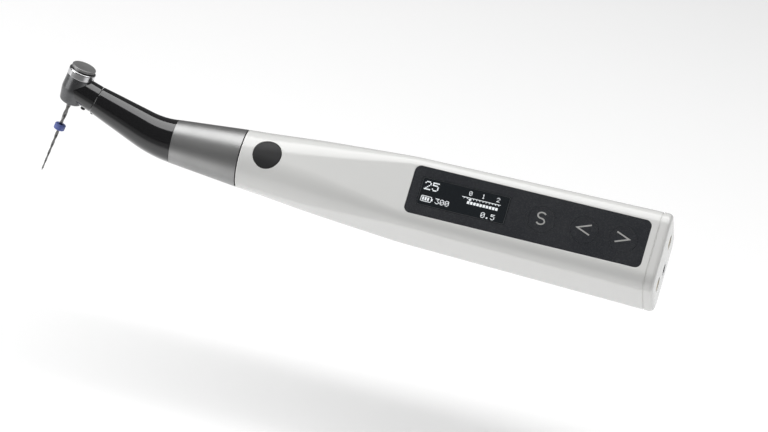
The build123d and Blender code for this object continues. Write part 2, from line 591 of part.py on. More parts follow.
# ---- files --------------------------------------------------------------------------------
os.makedirs("parts", exist_ok=True)
pieces = {
    "main_housing": main_housing, "tail_cap": tail_cap, "tail_gasket": tail_gasket,
    "charging_contacts": charging_contacts, "probe_jack": probe_jack, "tail_board": tail_board,
    "inner_frame": inner_frame, "main_board": main_board, "board_screws": board_screws,
    "key_switches": key_switches, "display_module": display_module, "control_panel": control_panel,
    "display_window": display_window, "battery_cell": battery_cell, "battery_contacts": battery_contacts,
    "buzzer": buzzer, "motor": motor, "gearbox": gearbox, "motor_mounts": motor_mounts,
    "motor_nose": motor_nose, "nose_bearing": nose_bearing, "nose_seal": nose_seal,
    "output_shaft": output_shaft, "button_board": button_board, "power_switch": power_switch,
    "power_button": power_button, "select_key": select_key, "left_key": left_key, "right_key": right_key,
    "battery_cover": battery_cover, "cover_gasket": cover_gasket, "cover_screws": cover_screws,
    "cover_inserts": cover_inserts, "contra_sleeve": contra_sleeve, "index_ring": index_ring,
    "coupling_tube": coupling_tube, "neck_sheath": neck_sheath, "input_carrier": input_carrier,
    "input_bearing": input_bearing, "neck_carrier": neck_carrier, "neck_bearings": neck_bearings,
    "head_housing": head_housing, "front_collar": front_collar, "neck_studs": neck_studs,
    "cap_ring": cap_ring, "push_button": push_button, "button_spring": button_spring,
    "input_shaft": input_shaft, "input_gear": input_gear, "neck_shaft": neck_shaft, "neck_gear": neck_gear,
    "head_pinion": head_pinion, "chuck_gear": chuck_gear, "chuck_spindle": chuck_spindle,
    "chuck_latch": chuck_latch, "chuck_bearings": chuck_bearings, "file_shank": file_shank,
    "file_blade": file_blade, "silicone_stop": silicone_stop,
}
for name, piece in pieces.items():
    piece.part.label = name
    export_step(piece.part, f"parts/{name}.step")
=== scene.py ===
"""Looks of a cordless endodontic motor handpiece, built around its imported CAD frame.

All lengths are metres in the frame's own axes: +X leaves through the tail, +Z is up, and the bent
neck and head lie in the XZ plane. Directions and places come from the frame's joints and boxes.
"""
import json

import bmesh
import bpy
import numpy as np
from mathutils import Matrix, Vector
from bpy.props import FloatProperty, FloatVectorProperty, PointerProperty

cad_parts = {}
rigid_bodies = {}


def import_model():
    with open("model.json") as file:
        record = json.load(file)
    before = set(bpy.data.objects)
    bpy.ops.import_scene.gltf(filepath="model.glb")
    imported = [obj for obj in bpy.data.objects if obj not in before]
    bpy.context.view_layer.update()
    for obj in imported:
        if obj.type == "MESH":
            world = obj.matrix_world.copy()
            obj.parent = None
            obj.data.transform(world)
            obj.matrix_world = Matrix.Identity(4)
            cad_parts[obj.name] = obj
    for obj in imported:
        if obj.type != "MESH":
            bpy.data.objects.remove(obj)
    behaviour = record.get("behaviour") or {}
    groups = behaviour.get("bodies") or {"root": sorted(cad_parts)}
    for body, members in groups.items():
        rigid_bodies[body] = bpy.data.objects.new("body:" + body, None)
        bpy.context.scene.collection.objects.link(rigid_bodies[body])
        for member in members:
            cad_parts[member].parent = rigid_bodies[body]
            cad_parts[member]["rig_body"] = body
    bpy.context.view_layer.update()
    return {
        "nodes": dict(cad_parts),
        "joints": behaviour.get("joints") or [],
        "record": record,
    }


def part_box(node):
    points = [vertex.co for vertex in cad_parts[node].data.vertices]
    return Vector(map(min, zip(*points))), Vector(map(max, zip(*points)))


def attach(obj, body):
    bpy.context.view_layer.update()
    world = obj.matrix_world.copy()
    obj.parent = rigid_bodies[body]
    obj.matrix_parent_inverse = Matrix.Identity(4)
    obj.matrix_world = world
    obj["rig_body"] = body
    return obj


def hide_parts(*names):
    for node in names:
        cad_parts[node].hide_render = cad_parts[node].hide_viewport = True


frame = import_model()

bl_info = {
    "name": "Endodontic Handpiece Looks",
    "version": (1, 0, 0),
    "blender": (4, 5, 0),
    "location": "View3D > Sidebar > Handpiece",
    "description": "Builds the surfaces and finishes of a cordless endodontic motor handpiece",
    "category": "Object",
}

MM = 0.001
JOINTS = {joint["name"]: joint for joint in frame["joints"]}


# ---- directions and frames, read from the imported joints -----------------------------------
def joint_axis(name):
    return np.array(JOINTS[name]["axis"], float)


X = np.array((1.0, 0.0, 0.0))
Y = np.array((0.0, 1.0, 0.0))
OUT = -joint_axis("power_press")  # out of the control panel
ACROSS = np.cross(OUT, X)
FACE_OUT = -joint_axis("select_press")  # normal of the tilted panel face
NECK_DIR = joint_axis("neck_spin")
FILE_DIR = joint_axis("chuck_spin")
BEND_POINT = np.array(JOINTS["neck_spin"]["pos_m"], float)
HEAD_POINT = np.array(JOINTS["chuck_spin"]["pos_m"], float)
HEAD_DEPTH = 7.652 * MM  # from the button's disc down to the crossing of neck and head
DISC_TOP = HEAD_POINT - FILE_DIR * HEAD_DEPTH

SEAM_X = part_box("main_housing")[0].x
BODY_END_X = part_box("main_housing")[1].x
NECK_START_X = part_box("contra_sleeve")[0].x
SLEEVE_REAR_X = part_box("contra_sleeve")[1].x
PANEL_X = (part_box("control_panel")[0].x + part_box("control_panel")[1].x) / 2
WINDOW_X = (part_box("display_window")[0].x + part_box("display_window")[1].x) / 2
DOOR_X = (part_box("battery_cover")[0].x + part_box("battery_cover")[1].x) / 2
BUTTON_X = (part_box("power_button")[0].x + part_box("power_button")[1].x) / 2


def key_x(node):
    return (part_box(node)[0].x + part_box(node)[1].x) / 2


AXLE = (np.zeros(3), ACROSS, OUT, X)  # origin, radial, side, axis
HEAD = (DISC_TOP, Y, np.cross(FILE_DIR, Y), FILE_DIR)
NECK = (BEND_POINT, Y, np.cross(NECK_DIR, Y), NECK_DIR)

# Body sections: station along X, side of the rounded square, corner radius.
BODY_STATIONS = np.array((
    (-149.6, 18.0, 9.0), (-141.9, 19.1, 9.4), (-134.0, 20.2, 9.75), (-117.0, 22.6, 9.0),
    (-100.0, 23.6, 6.6), (-86.0, 24.16, 4.2), (-3.0, 27.6, 5.4), (7.0, 28.01, 5.5),
)) * MM
BODY_BLUR = 6.0 * MM  # half-width over which the stations are rounded into one smooth line
NECK_STATIONS = np.array((
    (-3.0, 7.5), (0.0, 7.2), (2.5, 6.94), (5.5, 6.62), (9.0, 6.32), (14.0, 5.93), (19.0, 5.52), (24.0, 5.13),
    (29.0, 4.68), (32.0, 4.41),
)) * MM
NECK_LENGTH = 29.0 * MM
COLLAR_START = 23.72 * MM
COLLAR_REACHES = np.array((23.6, 32.0)) * MM
COLLAR_RADII = np.array((4.66, 4.54)) * MM
BARREL_STATIONS = np.array((  # depth under the disc, outside radius of ring and barrel
    (-2, 4.55), (3.7, 4.55), (3.75, 4.45), (8.6, 4.6), (12.2, 3.92), (13.3, 3.4),
)) * MM
FILE_EXIT = 14.0 * MM  # depths under the disc
FILE_END = 39.15 * MM
STOP_DEPTH = 22.6
STOP_HALF = 0.95
STOP_BORE = 0.76
FLAT_STEPS = 10
ARC_STEPS = 30
QUADRANT = 2 * FLAT_STEPS + ARC_STEPS


# ---- meshes -------------------------------------------------------------------------------
def grid_faces(rows, columns, around):
    """Quads of a rows x columns grid, as an array; around joins the last column to the first."""
    row, column = np.meshgrid(
        np.arange(rows - 1), np.arange(columns if around else columns - 1), indexing="ij"
    )
    following = (column + 1) % columns
    return np.stack(
        (row * columns + column, row * columns + following,
         (row + 1) * columns + following, (row + 1) * columns + column), axis=-1,
    ).reshape(-1, 4)


def surface(points, around=True, keep=None):
    """Vertices and quads of a (rows, columns, 3) grid of points; keep masks the quads."""
    rows, columns = points.shape[:2]
    faces = grid_faces(rows, columns, around)
    if keep is not None:
        faces = faces[keep.reshape(-1)]
    return points.reshape(-1, 3), faces


def add_piece(name, parts, body, material, replaces=(), crease=40.0, outward_from=None):
    """One object from (vertices, faces) parts. Doubles are merged, creases sharper than the
    given angle stay sharp, and faces point out of a closed mesh or away from outward_from."""
    vertices, faces, start = [], [], 0
    for points, quads in parts:
        vertices.append(points)
        faces.extend((np.asarray(quads) + start).tolist())
        start += len(points)
    mesh = bpy.data.meshes.new(name)
    mesh.from_pydata(np.concatenate(vertices).tolist(), [], faces)
    work = bmesh.new()
    work.from_mesh(mesh)
    bmesh.ops.remove_doubles(work, verts=work.verts, dist=1e-7)
    bmesh.ops.dissolve_degenerate(work, edges=work.edges, dist=1e-8)
    loose = [corner for corner in work.verts if not corner.link_faces]
    bmesh.ops.delete(work, geom=loose, context="VERTS")
    bmesh.ops.recalc_face_normals(work, faces=work.faces)
    if outward_from is not None:
        centre = np.asarray(outward_from)
        facing = sum(
            (np.array(face.calc_center_median()) - centre) @ np.array(face.normal) * face.calc_area()
            for face in work.faces
        )
        if facing < 0:
            bmesh.ops.reverse_faces(work, faces=work.faces)
    work.to_mesh(mesh)
    work.free()
    mesh.shade_smooth()
    mesh.set_sharp_from_angle(angle=np.radians(crease))
    piece = bpy.data.objects.new(name, mesh)
    bpy.context.scene.collection.objects.link(piece)
    mesh.materials.append(material)
    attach(piece, body)
    if replaces:
        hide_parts(*replaces)
    return piece


def rounded_line(corners, steps=5):
    """A profile through (radius, height, fillet) corners in millimetres, in metres: each corner
    with a fillet becomes an arc tangent to its two runs, and each run gets a point close to
    each end, so that flat runs shade flat."""
    corners = np.array(corners, float)
    line = []
    for index, (radius, height, fillet) in enumerate(corners):
        here = np.array((radius, height))
        if index in (0, len(corners) - 1) or fillet == 0:
            if index:
                back = line[-1] - here
                line.append(here + back * min(0.3, 0.04 / max(np.linalg.norm(back), 1e-6)))
            line.append(here)
            if index < len(corners) - 1:
                on = corners[index + 1, :2] - here
                line.append(here + on * min(0.3, 0.04 / max(np.linalg.norm(on), 1e-6)))
            continue
        to_last = corners[index - 1, :2] - here
        to_next = corners[index + 1, :2] - here
        to_last /= np.linalg.norm(to_last)
        to_next /= np.linalg.norm(to_next)
        half = np.arccos(np.clip(to_last @ to_next, -1, 1)) / 2
        reach = fillet / np.tan(half)
        centre = here + (to_last + to_next) / np.linalg.norm(to_last + to_next) * fillet / np.sin(half)
        start, end = here + to_last * reach - centre, here + to_next * reach - centre
        share = np.linspace(0, 1, steps + 1)[:, None]
        spread = np.pi - 2 * half
        arc = (start * np.sin((1 - share) * spread) + end * np.sin(share * spread)) / np.sin(spread)
        line.append(here + to_last * (reach + 0.03))
        line.extend(centre + arc)
        line.append(here + to_next * (reach + 0.03))
    return np.array(line) * MM


def lathe(axes, profile, segments=96, wobble=None):
    """Points of a (radius, height) profile carried round an axis: origin + height x axis +
    radius x (cos a, sin a). wobble(angle, height) scales the radius."""
    origin, radial, side, axis = axes
    angle = np.linspace(0, 2 * np.pi, segments, endpoint=False)
    radius = profile[:, :1] * np.ones(segments)
    if wobble is not None:
        radius = radius * wobble(angle[None, :], profile[:, 1:2])
    round_out = np.cos(angle)[:, None] * radial + np.sin(angle)[:, None] * side
    return origin + profile[:, 1, None, None] * axis + radius[..., None] * round_out


def turned_part(axes, corners, segments=96, steps=5, wobble=None):
    """A part turned round an axis from its filleted profile."""
    return surface(lathe(axes, rounded_line(corners, steps), segments, wobble))


# ---- the body's surface -------------------------------------------------------------------
def blurred(stations, column, x, blur):
    """A station column read at x, averaged over a cosine window of half-width blur."""
    offsets = np.linspace(-1, 1, 25)
    weights = 1 + np.cos(np.pi * offsets)
    reads = [np.interp(x + offset * blur, stations[:, 0], stations[:, column]) for offset in offsets]
    return np.tensordot(weights / weights.sum(), np.array(reads), axes=1)


def body_size(x):
    """Half side, flat half-width and corner radius of the body at x."""
    half = blurred(BODY_STATIONS, 1, x, BODY_BLUR) / 2
    corner = np.minimum(blurred(BODY_STATIONS, 2, x, BODY_BLUR), half - 0.02 * MM)
    return half, half - corner, corner


def section_columns(half, flat, corner):
    """One rounded square as (across, out) pairs: from the middle of a face along its flat,
    round the corner arc and back to the middle of the next face, four times."""
    run = np.linspace(0, 1, FLAT_STEPS + 1)
    turn = np.radians(np.linspace(0, 90, ARC_STEPS + 1))
    flat, corner, half = (np.asarray(value)[..., None] for value in (flat, corner, half))
    across = np.concatenate((flat * run[:-1], flat + corner * np.sin(turn), half + 0 * run[1:-1]), axis=-1)
    out = np.concatenate((half + 0 * run[:-1], flat + corner * np.cos(turn), flat * run[1:-1][::-1]), axis=-1)
    sides = [(across, out), (out, -across), (-across, -out), (-out, across)]
    return (np.concatenate([side[0] for side in sides], axis=-1),
            np.concatenate([side[1] for side in sides], axis=-1))


def body_point(x, across, out):
    """Station along the axis, and distances across and out of the panel face, as a point."""
    return x[..., None] * X + across[..., None] * ACROSS + out[..., None] * OUT


def face_height(x, across):
    """Height of the body's surface over its axis, on one face: flat, then the corner's arc."""
    half, flat, corner = body_size(x)
    beyond = np.clip(np.abs(across) - flat, 0, corner)
    return flat + np.sqrt(corner ** 2 - beyond ** 2)


def opening_patch(columns_x, columns_across, face, centre_x, size, radius, depth):
    """The skin round an opening: from a rectangle of grid lines to the opening's rounded
    outline, over a small edge radius and down its wall. The outline is the opening's core
    rectangle moved out by the radius, and every skin point lies on the body's surface."""
    edge = 0.13 * MM
    outer = np.stack((columns_x, columns_across), axis=-1)
    core_half = np.array((size[0] / 2 - radius, size[1] / 2 - radius))
    local = outer - np.array((centre_x, 0))
    core = np.clip(local, -core_half, core_half)
    away = (local - core) / np.linalg.norm(local - core, axis=-1, keepdims=True)
    rim = core + away * (radius + edge)
    share = np.array((0, 0.3, 0.6, 0.85, 0.97, 1.0))[:, None, None]
    skin = local + (rim - local) * share
    turn = np.radians(np.linspace(0, 90, 6))[1:, None, None]
    lip = core + away * (radius + edge * (1 - np.sin(turn)))
    wall = np.repeat((core + away * radius)[None], 3, axis=0)
    plan = np.concatenate((skin, lip, wall)) + np.array((centre_x, 0))
    drop = np.concatenate((np.zeros(len(skin)), edge * (1 - np.cos(turn[:, 0, 0])),
                           edge + np.array((0.02 * MM, 0.5 * depth, depth))))
    x, across = plan[..., 0], plan[..., 1]
    out = face_height(x, across) - drop[:, None]
    if face == 2:
        across, out = -across, -out
    return surface(body_point(x, across, out))


def body_rows():
    """Stations of the skin: about 1.2 mm apart, and closer at the ends of each opening."""
    breaks = np.array((SEAM_X / MM + 0.3, -139.6, -126.0, -86.2, -83.0, -80.2, -77.5, -14.6, -11.7, -8.2,
                       -4.5, BODY_END_X / MM - 0.3)) * MM
    gaps = np.array((0.5, 0.75, 1.3, 0.27, 0.7, 0.3, 1.3, 0.3, 0.7, 0.28, 0.5)) * MM
    runs = [np.linspace(low, high, int(np.ceil((high - low) / gap)) + 1)[:-1]
            for low, high, gap in zip(breaks, breaks[1:], gaps)]
    return np.concatenate((*runs, breaks[-1:]))


def make_housing(finish):
    """The white skin, with the panel pocket, the button hole, the door recess and rolled ends."""
    rows = body_rows()
    across, out = section_columns(*body_size(rows))
    points = body_point(np.broadcast_to(rows[:, None], across.shape), across, out)
    keep = np.ones((len(rows) - 1, 4 * QUADRANT), bool)
    total = 4 * QUADRANT
    parts = []
    openings = (  # face, centre, size, corner radius, depth, border column, first and last row
        (0, PANEL_X, (79.0, 16.6), 2.05, 0.9, FLAT_STEPS + 6, -86.2, -4.5),
        (0, BUTTON_X, (9.6, 9.6), 4.8, 1.6, FLAT_STEPS + 14, -139.6, -126.0),
        (2, DOOR_X, (66.0, 17.4), 0.6, 1.6, FLAT_STEPS + 8, -80.2, -11.7),
    )
    for face, centre, size, radius, depth, border, first_x, last_x in openings:
        first = int(np.argmin(np.abs(rows - first_x * MM)))
        last = int(np.argmin(np.abs(rows - last_x * MM)))
        columns = (np.arange(-border, border + 1) + face * QUADRANT) % total
        keep[first:last, columns[:-1]] = False
        ring_row = np.concatenate((np.full(2 * border, first), np.arange(first, last),
                                   np.full(2 * border, last), np.arange(last, first, -1)))
        ring_column = np.concatenate((columns[:-1], np.full(last - first, columns[-1]),
                                      columns[::-1][:-1], np.full(last - first, columns[0])))
        sign = 1 if face == 0 else -1
        parts.append(opening_patch(
            rows[ring_row], sign * across[ring_row, ring_column], face, centre,
            np.array(size) * MM, radius * MM, depth * MM,
        ))
    parts.append(surface(points, keep=keep))
    parts.append(rolled_end(rows[0], -1, 5.3 * MM))
    parts.append(rolled_end(rows[-1], 1, None))
    middle = ((SEAM_X + BODY_END_X) / 2, 0, 0)
    add_piece("housing_skin", parts, "handpiece", finish["shell"], ["main_housing"],
              crease=50, outward_from=middle)


def rolled_end(x, way, bore):
    """The skin's end: a quarter-round edge, then a flat ring in to the wall's inside or a bore."""
    edge = 0.3 * MM
    half, flat, corner = body_size(np.array(x))
    turn = np.radians(np.linspace(0, 90, 7))
    inset = np.concatenate((edge * (1 - np.cos(turn)), [edge + 0.05 * MM, 1.55 * MM, 1.6 * MM]))
    station = np.concatenate((x + way * edge * np.sin(turn), np.full(3, x + way * edge)))
    across, out = section_columns(half - inset, flat + 0 * inset, corner - inset)
    if bore:
        reach = np.hypot(across[-1], out[-1])
        across = np.vstack((across, across[-1] / reach * bore))
        out = np.vstack((out, out[-1] / reach * bore))
        station = np.append(station, x + way * edge)
    return surface(body_point(np.broadcast_to(station[:, None], across.shape), across, out))


# ---- flat pieces on the panel face --------------------------------------------------------
def panel_point(x, across, lift):
    """A point of the panel face at station x, moved out along the face's normal."""
    x, across, lift = np.broadcast_arrays(x, across, lift)
    axis_height = body_size(np.array(PANEL_X))[0]
    slope = -FACE_OUT[0] / (FACE_OUT @ OUT)
    out = axis_height + (x - PANEL_X) * slope
    return x[..., None] * X + across[..., None] * ACROSS + out[..., None] * OUT + lift[..., None] * FACE_OUT


def rounded_outline(length, width, radius, per_corner=12):
    """A rounded rectangle's outline: each corner's arc, in order round the middle."""
    turn = np.radians(np.linspace(0, 90, per_corner))
    corners = []
    for quarter in range(4):
        angle = turn + quarter * np.pi / 2
        sx = 1 if quarter in (0, 3) else -1
        sy = 1 if quarter in (0, 1) else -1
        corners.append(np.stack((sx * (length / 2 - radius) + radius * np.cos(angle),
                                 sy * (width / 2 - radius) + radius * np.sin(angle)), axis=-1))
    return np.concatenate(corners)


def closed_end(ring, centre):
    """Triangles from a centre point to a closed ring of points, as a part of its own."""
    count = len(ring)
    index = np.arange(count)
    faces = np.stack((np.full(count, count), index, (index + 1) % count), axis=-1)
    return np.vstack((ring, centre)), faces


def bevelled_plate(outline, thick, top, edge=0.06 * MM):
    """Rings of a plate on the panel face, as (plan, lift): underside rim, wall, bevelled edge
    and top rim, shrunk towards the outline's middle by the bevel."""
    shrink = 1 - edge / np.abs(outline).max(axis=0)
    rings = [(outline * shrink, top - thick), (outline, top - thick + edge), (outline, top - edge),
             (outline * shrink, top)]
    plan = np.array([ring[0] for ring in rings])
    lift = np.array([ring[1] for ring in rings])
    return plan, lift[:, None] * np.ones(len(outline))


def plate_parts(outline, centre_x, thick, top):
    """A bevelled plate round a centre on the panel face: its rim, and both faces closed."""
    plan, lift = bevelled_plate(outline, thick, top)
    points = panel_point(plan[..., 0] + centre_x, plan[..., 1], lift)
    low = panel_point(np.array(centre_x), np.array(0.0), np.array(top - thick))
    high = panel_point(np.array(centre_x), np.array(0.0), np.array(top))
    return [surface(points), closed_end(points[0], low), closed_end(points[-1], high)]


def ribbon(points, width, closed=False):
    """A strip of even width along a plan line: each point is moved both ways along the mitre."""
    points = np.asarray(points, float)
    ahead = np.roll(points, -1, axis=0) - points
    behind = points - np.roll(points, 1, axis=0)
    if not closed:
        ahead[-1] = behind[-1]
        behind[0] = ahead[0]
    ahead /= np.linalg.norm(ahead, axis=1, keepdims=True)
    behind /= np.linalg.norm(behind, axis=1, keepdims=True)
    normal_a = np.stack((-ahead[:, 1], ahead[:, 0]), axis=1)
    normal_b = np.stack((-behind[:, 1], behind[:, 0]), axis=1)
    mitre = normal_a + normal_b
    mitre /= (mitre * normal_a).sum(axis=1, keepdims=True)
    return np.stack((points - mitre * width / 2, points + mitre * width / 2))


def printed_strip(points, width, centre_x, lift, closed=False):
    """A printed line of even width on the panel face."""
    strip = ribbon(points, width, closed)
    return surface(panel_point(strip[..., 0] + centre_x, strip[..., 1], np.array(lift)), around=closed)


def printed_cells(corners, size, centre_x, lift):
    """Separate rectangles in plan, one for each lower-left corner."""
    corners = np.asarray(corners, float).reshape(-1, 2)
    size = np.broadcast_to(np.asarray(size, float), corners.shape)
    steps = np.array(((0, 0), (1, 0), (1, 1), (0, 1)))
    plan = corners[:, None] + steps * size[:, None]
    points = panel_point(plan[..., 0] + centre_x, plan[..., 1], np.array(lift)).reshape(-1, 3)
    return points, np.arange(len(points)).reshape(-1, 4)


DIGITS = {  # rows of a 5 x 7 dot figure from the top, each row's dots as bits
    "0": (14, 17, 19, 21, 25, 17, 14), "1": (4, 12, 4, 4, 4, 4, 14), "2": (14, 17, 1, 2, 4, 8, 31),
    "3": (31, 2, 4, 2, 1, 17, 14), "5": (31, 16, 30, 1, 1, 17, 14), "8": (14, 17, 17, 14, 17, 17, 14),
    "4": (2, 6, 10, 18, 31, 2, 2), ".": (0, 0, 0, 0, 0, 12, 12), "%": (24, 25, 2, 4, 8, 19, 3),
}


def figure_cells(text, left, base, height):
    """Lower-left corners of the lit dots of a row of figures, and the dot's pitch."""
    pitch = height / 7
    cells = [
        (left + (6 * place + column) * pitch, base + (6 - row) * pitch)
        for place, figure in enumerate(text)
        for row, bits in enumerate(DIGITS[figure])
        for column in range(5) if bits >> (4 - column) & 1
    ]
    return np.array(cells), pitch


# ---- operators' work ----------------------------------------------------------------------
def make_panel(finish):
    """The panel film, a smooth copy of the frame's own panel with its holes for the keys and the window, and
    the display window from its own outline with a fine bevel."""
    smooth_copy("control_panel", "panel_film", finish["panel"], 30)
    window = rounded_outline(29.6 * MM, 9.9 * MM, 0.57 * MM, 6)
    add_piece("window_pane", plate_parts(window, WINDOW_X, 0.6 * MM, 0.0), "handpiece",
              finish["window"], ["display_window"], crease=30,
              outward_from=panel_point(np.array(WINDOW_X), np.array(0.0), np.array(-0.3 * MM)))


def smooth_copy(node, name, material, crease):
    """A merged copy of a frame node that replaces it, smooth up to the crease angle."""
    source = frame["nodes"][node].data
    corners = np.empty(len(source.vertices) * 3, np.float32)
    source.vertices.foreach_get("co", corners)
    faces = np.empty(len(source.loops), np.int32)
    source.loops.foreach_get("vertex_index", faces)
    return add_piece(name, [(corners.reshape(-1, 3).astype(float), faces.reshape(-1, 3))],
                     frame["nodes"][node]["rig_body"], material, [node], crease=crease)


def make_display(finish):
    """Everything lit in the window: a big figure, a battery mark, a depth scale and readouts."""
    lift = 0.03 * MM
    parts = []
    for text, left, base, height in (("25", -13.6, 0.7, 3.0), ("300", -8.9, -3.35, 1.9), ("0", 1.1, 2.2, 1.5),
                                     ("1", 5.4, 2.2, 1.5), ("2", 10.3, 2.2, 1.5), ("0.5", 6.6, -4.2, 1.9)):
        cells, pitch = figure_cells(text, left * MM, base * MM, height * MM)
        parts.append(printed_cells(cells, pitch * 0.93, WINDOW_X, lift))
    battery = rounded_outline(3.4 * MM, 1.8 * MM, 0.3 * MM, 4) + np.array((-11.9, -2.4)) * MM
    parts.append(printed_strip(battery, 0.22 * MM, WINDOW_X, lift, closed=True))
    bars = [((-13.2 + 0.85 * step) * MM, -2.95 * MM) for step in range(3)]
    parts.append(printed_cells(bars, np.array((0.6, 1.1)) * MM, WINDOW_X, lift))
    parts.append(printed_cells([(-10.1 * MM, -2.8 * MM)], np.array((0.35, 0.8)) * MM, WINDOW_X, lift))
    parts.append(printed_cells([(-0.9 * MM, 1.25 * MM)], np.array((12.9, 0.2)) * MM, WINDOW_X, lift))
    ticks = [((-0.2 + 1.05 * step) * MM, 0.85 * MM) for step in range(12)]
    parts.append(printed_cells(ticks, np.array((0.2, 0.42)) * MM, WINDOW_X, lift))
    scale = [((1.2 + 1.05 * step) * MM, -0.75 * MM) for step in range(10)]
    parts.append(printed_cells(scale, np.array((0.8, 0.95)) * MM, WINDOW_X, lift))
    marker = np.array(((1.9, 0.15), (2.5, 1.0), (1.3, 1.0))) * MM
    corners = panel_point(marker[:, 0] + WINDOW_X, marker[:, 1], np.array(lift))
    parts.append((corners, [[0, 1, 2]]))
    pane = panel_point(np.array(WINDOW_X), np.array(0.0), np.array(-5 * MM))
    add_piece("display_readout", parts, "handpiece", finish["display"], outward_from=pane)
    frame_line = rounded_outline(29.0 * MM, 9.4 * MM, 0.5 * MM, 5)
    add_piece("window_line", [printed_strip(frame_line, 0.12 * MM, WINDOW_X, lift, closed=True)], "handpiece",
              finish["line"], outward_from=pane)


def make_keys(finish, sizes):
    """Round keys flush with the film, each with its printed mark riding on it."""
    marks = {"select_key": None, "left_key": -1, "right_key": 1}
    for node, way in marks.items():
        smooth_copy(node, node + "_cap", finish["panel"], 30)
        body = frame["nodes"][node]["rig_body"]
        place = key_x(node)
        if way is None:
            turns = np.radians((np.linspace(28, 270, 26), np.linspace(90, -152, 26)))
            upper, lower = (np.stack((1.3 * np.cos(turn), way + 1.02 * np.sin(turn)), axis=1)
                            for turn, way in zip(turns, (1.02, -1.02)))
            line = np.concatenate((upper, lower[1:])) * MM
        else:
            line = np.array(((-way * 2.2, 1.75), (way * 2.2, 0.0), (-way * 2.2, -1.75))) * MM
        line = line + np.array((-0.4, 0.35)) * MM
        pane = panel_point(np.array(place), np.array(0.0), np.array(-5 * MM))
        add_piece(node + "_mark", [printed_strip(line, sizes.mark_stroke, place, 0.03 * MM)],
                  body, finish["print"], outward_from=pane)


def make_power_button(finish):
    """A disc that follows the body's curve: rings of (radius, drop) under the skin, with a
    rounded edge and a straight side."""
    radius = 4.7 * MM
    edge = 0.35 * MM
    turn = np.radians(np.linspace(0, 90, 7))
    reach = np.concatenate((np.linspace(0.2, 0.9, 8) * radius, radius - edge + edge * np.sin(turn),
                            [radius] * 3))
    drop = np.concatenate((np.zeros(8), edge * (1 - np.cos(turn)), np.array((0.6, 1.2, 2.0)) * MM))
    angle = np.linspace(0, 2 * np.pi, 72, endpoint=False)
    along = reach[:, None] * np.cos(angle)
    across = reach[:, None] * np.sin(angle)
    x = BUTTON_X + along
    out = face_height(x, across) - drop[:, None] - 0.03 * MM
    points = body_point(x, across, out)
    top = face_height(np.array(BUTTON_X), np.array(0.0)) - 0.03 * MM
    middle = body_point(np.array(BUTTON_X), np.array(0.0), top)
    inside = body_point(np.array(BUTTON_X), np.array(0.0), np.array(5 * MM))
    add_piece("power_button_cap", [surface(points), closed_end(points[0], middle)], "power_key",
              finish["button"], ["power_button"], crease=60, outward_from=inside)


def make_sleeve(finish):
    """The grey cone: rolled rear edge, straight flank, and its stepped bore."""
    start, end = SLEEVE_REAR_X / MM, NECK_START_X / MM
    corners = [(7.5, start - 6, 0), (7.5, start, 0.1), (9.54, start, 0.2), (7.2, end, 0.12), (4.95, end, 0),
               (4.95, end + 4.7, 0)]
    add_piece("sleeve_cone", [turned_part(AXLE, corners, 128)], "contra", finish["sleeve"],
              crease=35, outward_from=((start + end) / 2 * MM, 0, 0))


def neck_line(travel):
    """Point and direction of the neck's centre line, this far from the sleeve: a circular arc
    tangent to the body axis and to the neck axis, then the neck axis."""
    reach = np.linalg.norm(BEND_POINT - np.array((NECK_START_X, 0, 0)))
    bend = np.arccos(-NECK_DIR[0])
    radius = reach / np.tan(bend / 2)
    arc = radius * bend
    turn = np.clip(travel, 0, arc) / radius
    along = np.clip(travel, None, 0)
    on = np.clip(travel - arc, 0, None)
    x = NECK_START_X - radius * np.sin(turn) + on * NECK_DIR[0] - along
    z = radius * (1 - np.cos(turn)) + on * NECK_DIR[2]
    direction = np.stack((-np.cos(turn), 0 * turn, np.sin(turn)), axis=-1)
    return np.stack((x, 0 * x, z), axis=-1), direction


def make_neck(finish):
    """The black neck: circles square to its centre line, with a fine rolled edge at each end."""
    last = NECK_LENGTH
    edge = 0.12 * MM
    travel = np.concatenate(([0.0, 0.0], np.linspace(edge, last - edge, 90), [last, last]))
    radius = blurred(NECK_STATIONS, 1, travel, 3.0 * MM)
    radius[[0, -1]] -= 1.2 * MM
    radius[[1, -2]] -= edge
    centre, direction = neck_line(travel)
    up = np.stack((direction[:, 2], 0 * travel, -direction[:, 0]), axis=-1)
    angle = np.linspace(0, 2 * np.pi, 112, endpoint=False)
    ring = np.cos(angle)[None, :, None] * Y + np.sin(angle)[None, :, None] * up[:, None]
    points = centre[:, None] + radius[:, None, None] * ring
    add_piece("neck_skin", [surface(points)], "contra", finish["neck"], ["neck_sheath"],
              crease=60, outward_from=centre[45])


def barrel_radius(depth):
    """Outside of the head under the disc: the ring, then the barrel's slow swell and taper."""
    return np.interp(depth, BARREL_STATIONS[:, 0], BARREL_STATIONS[:, 1])


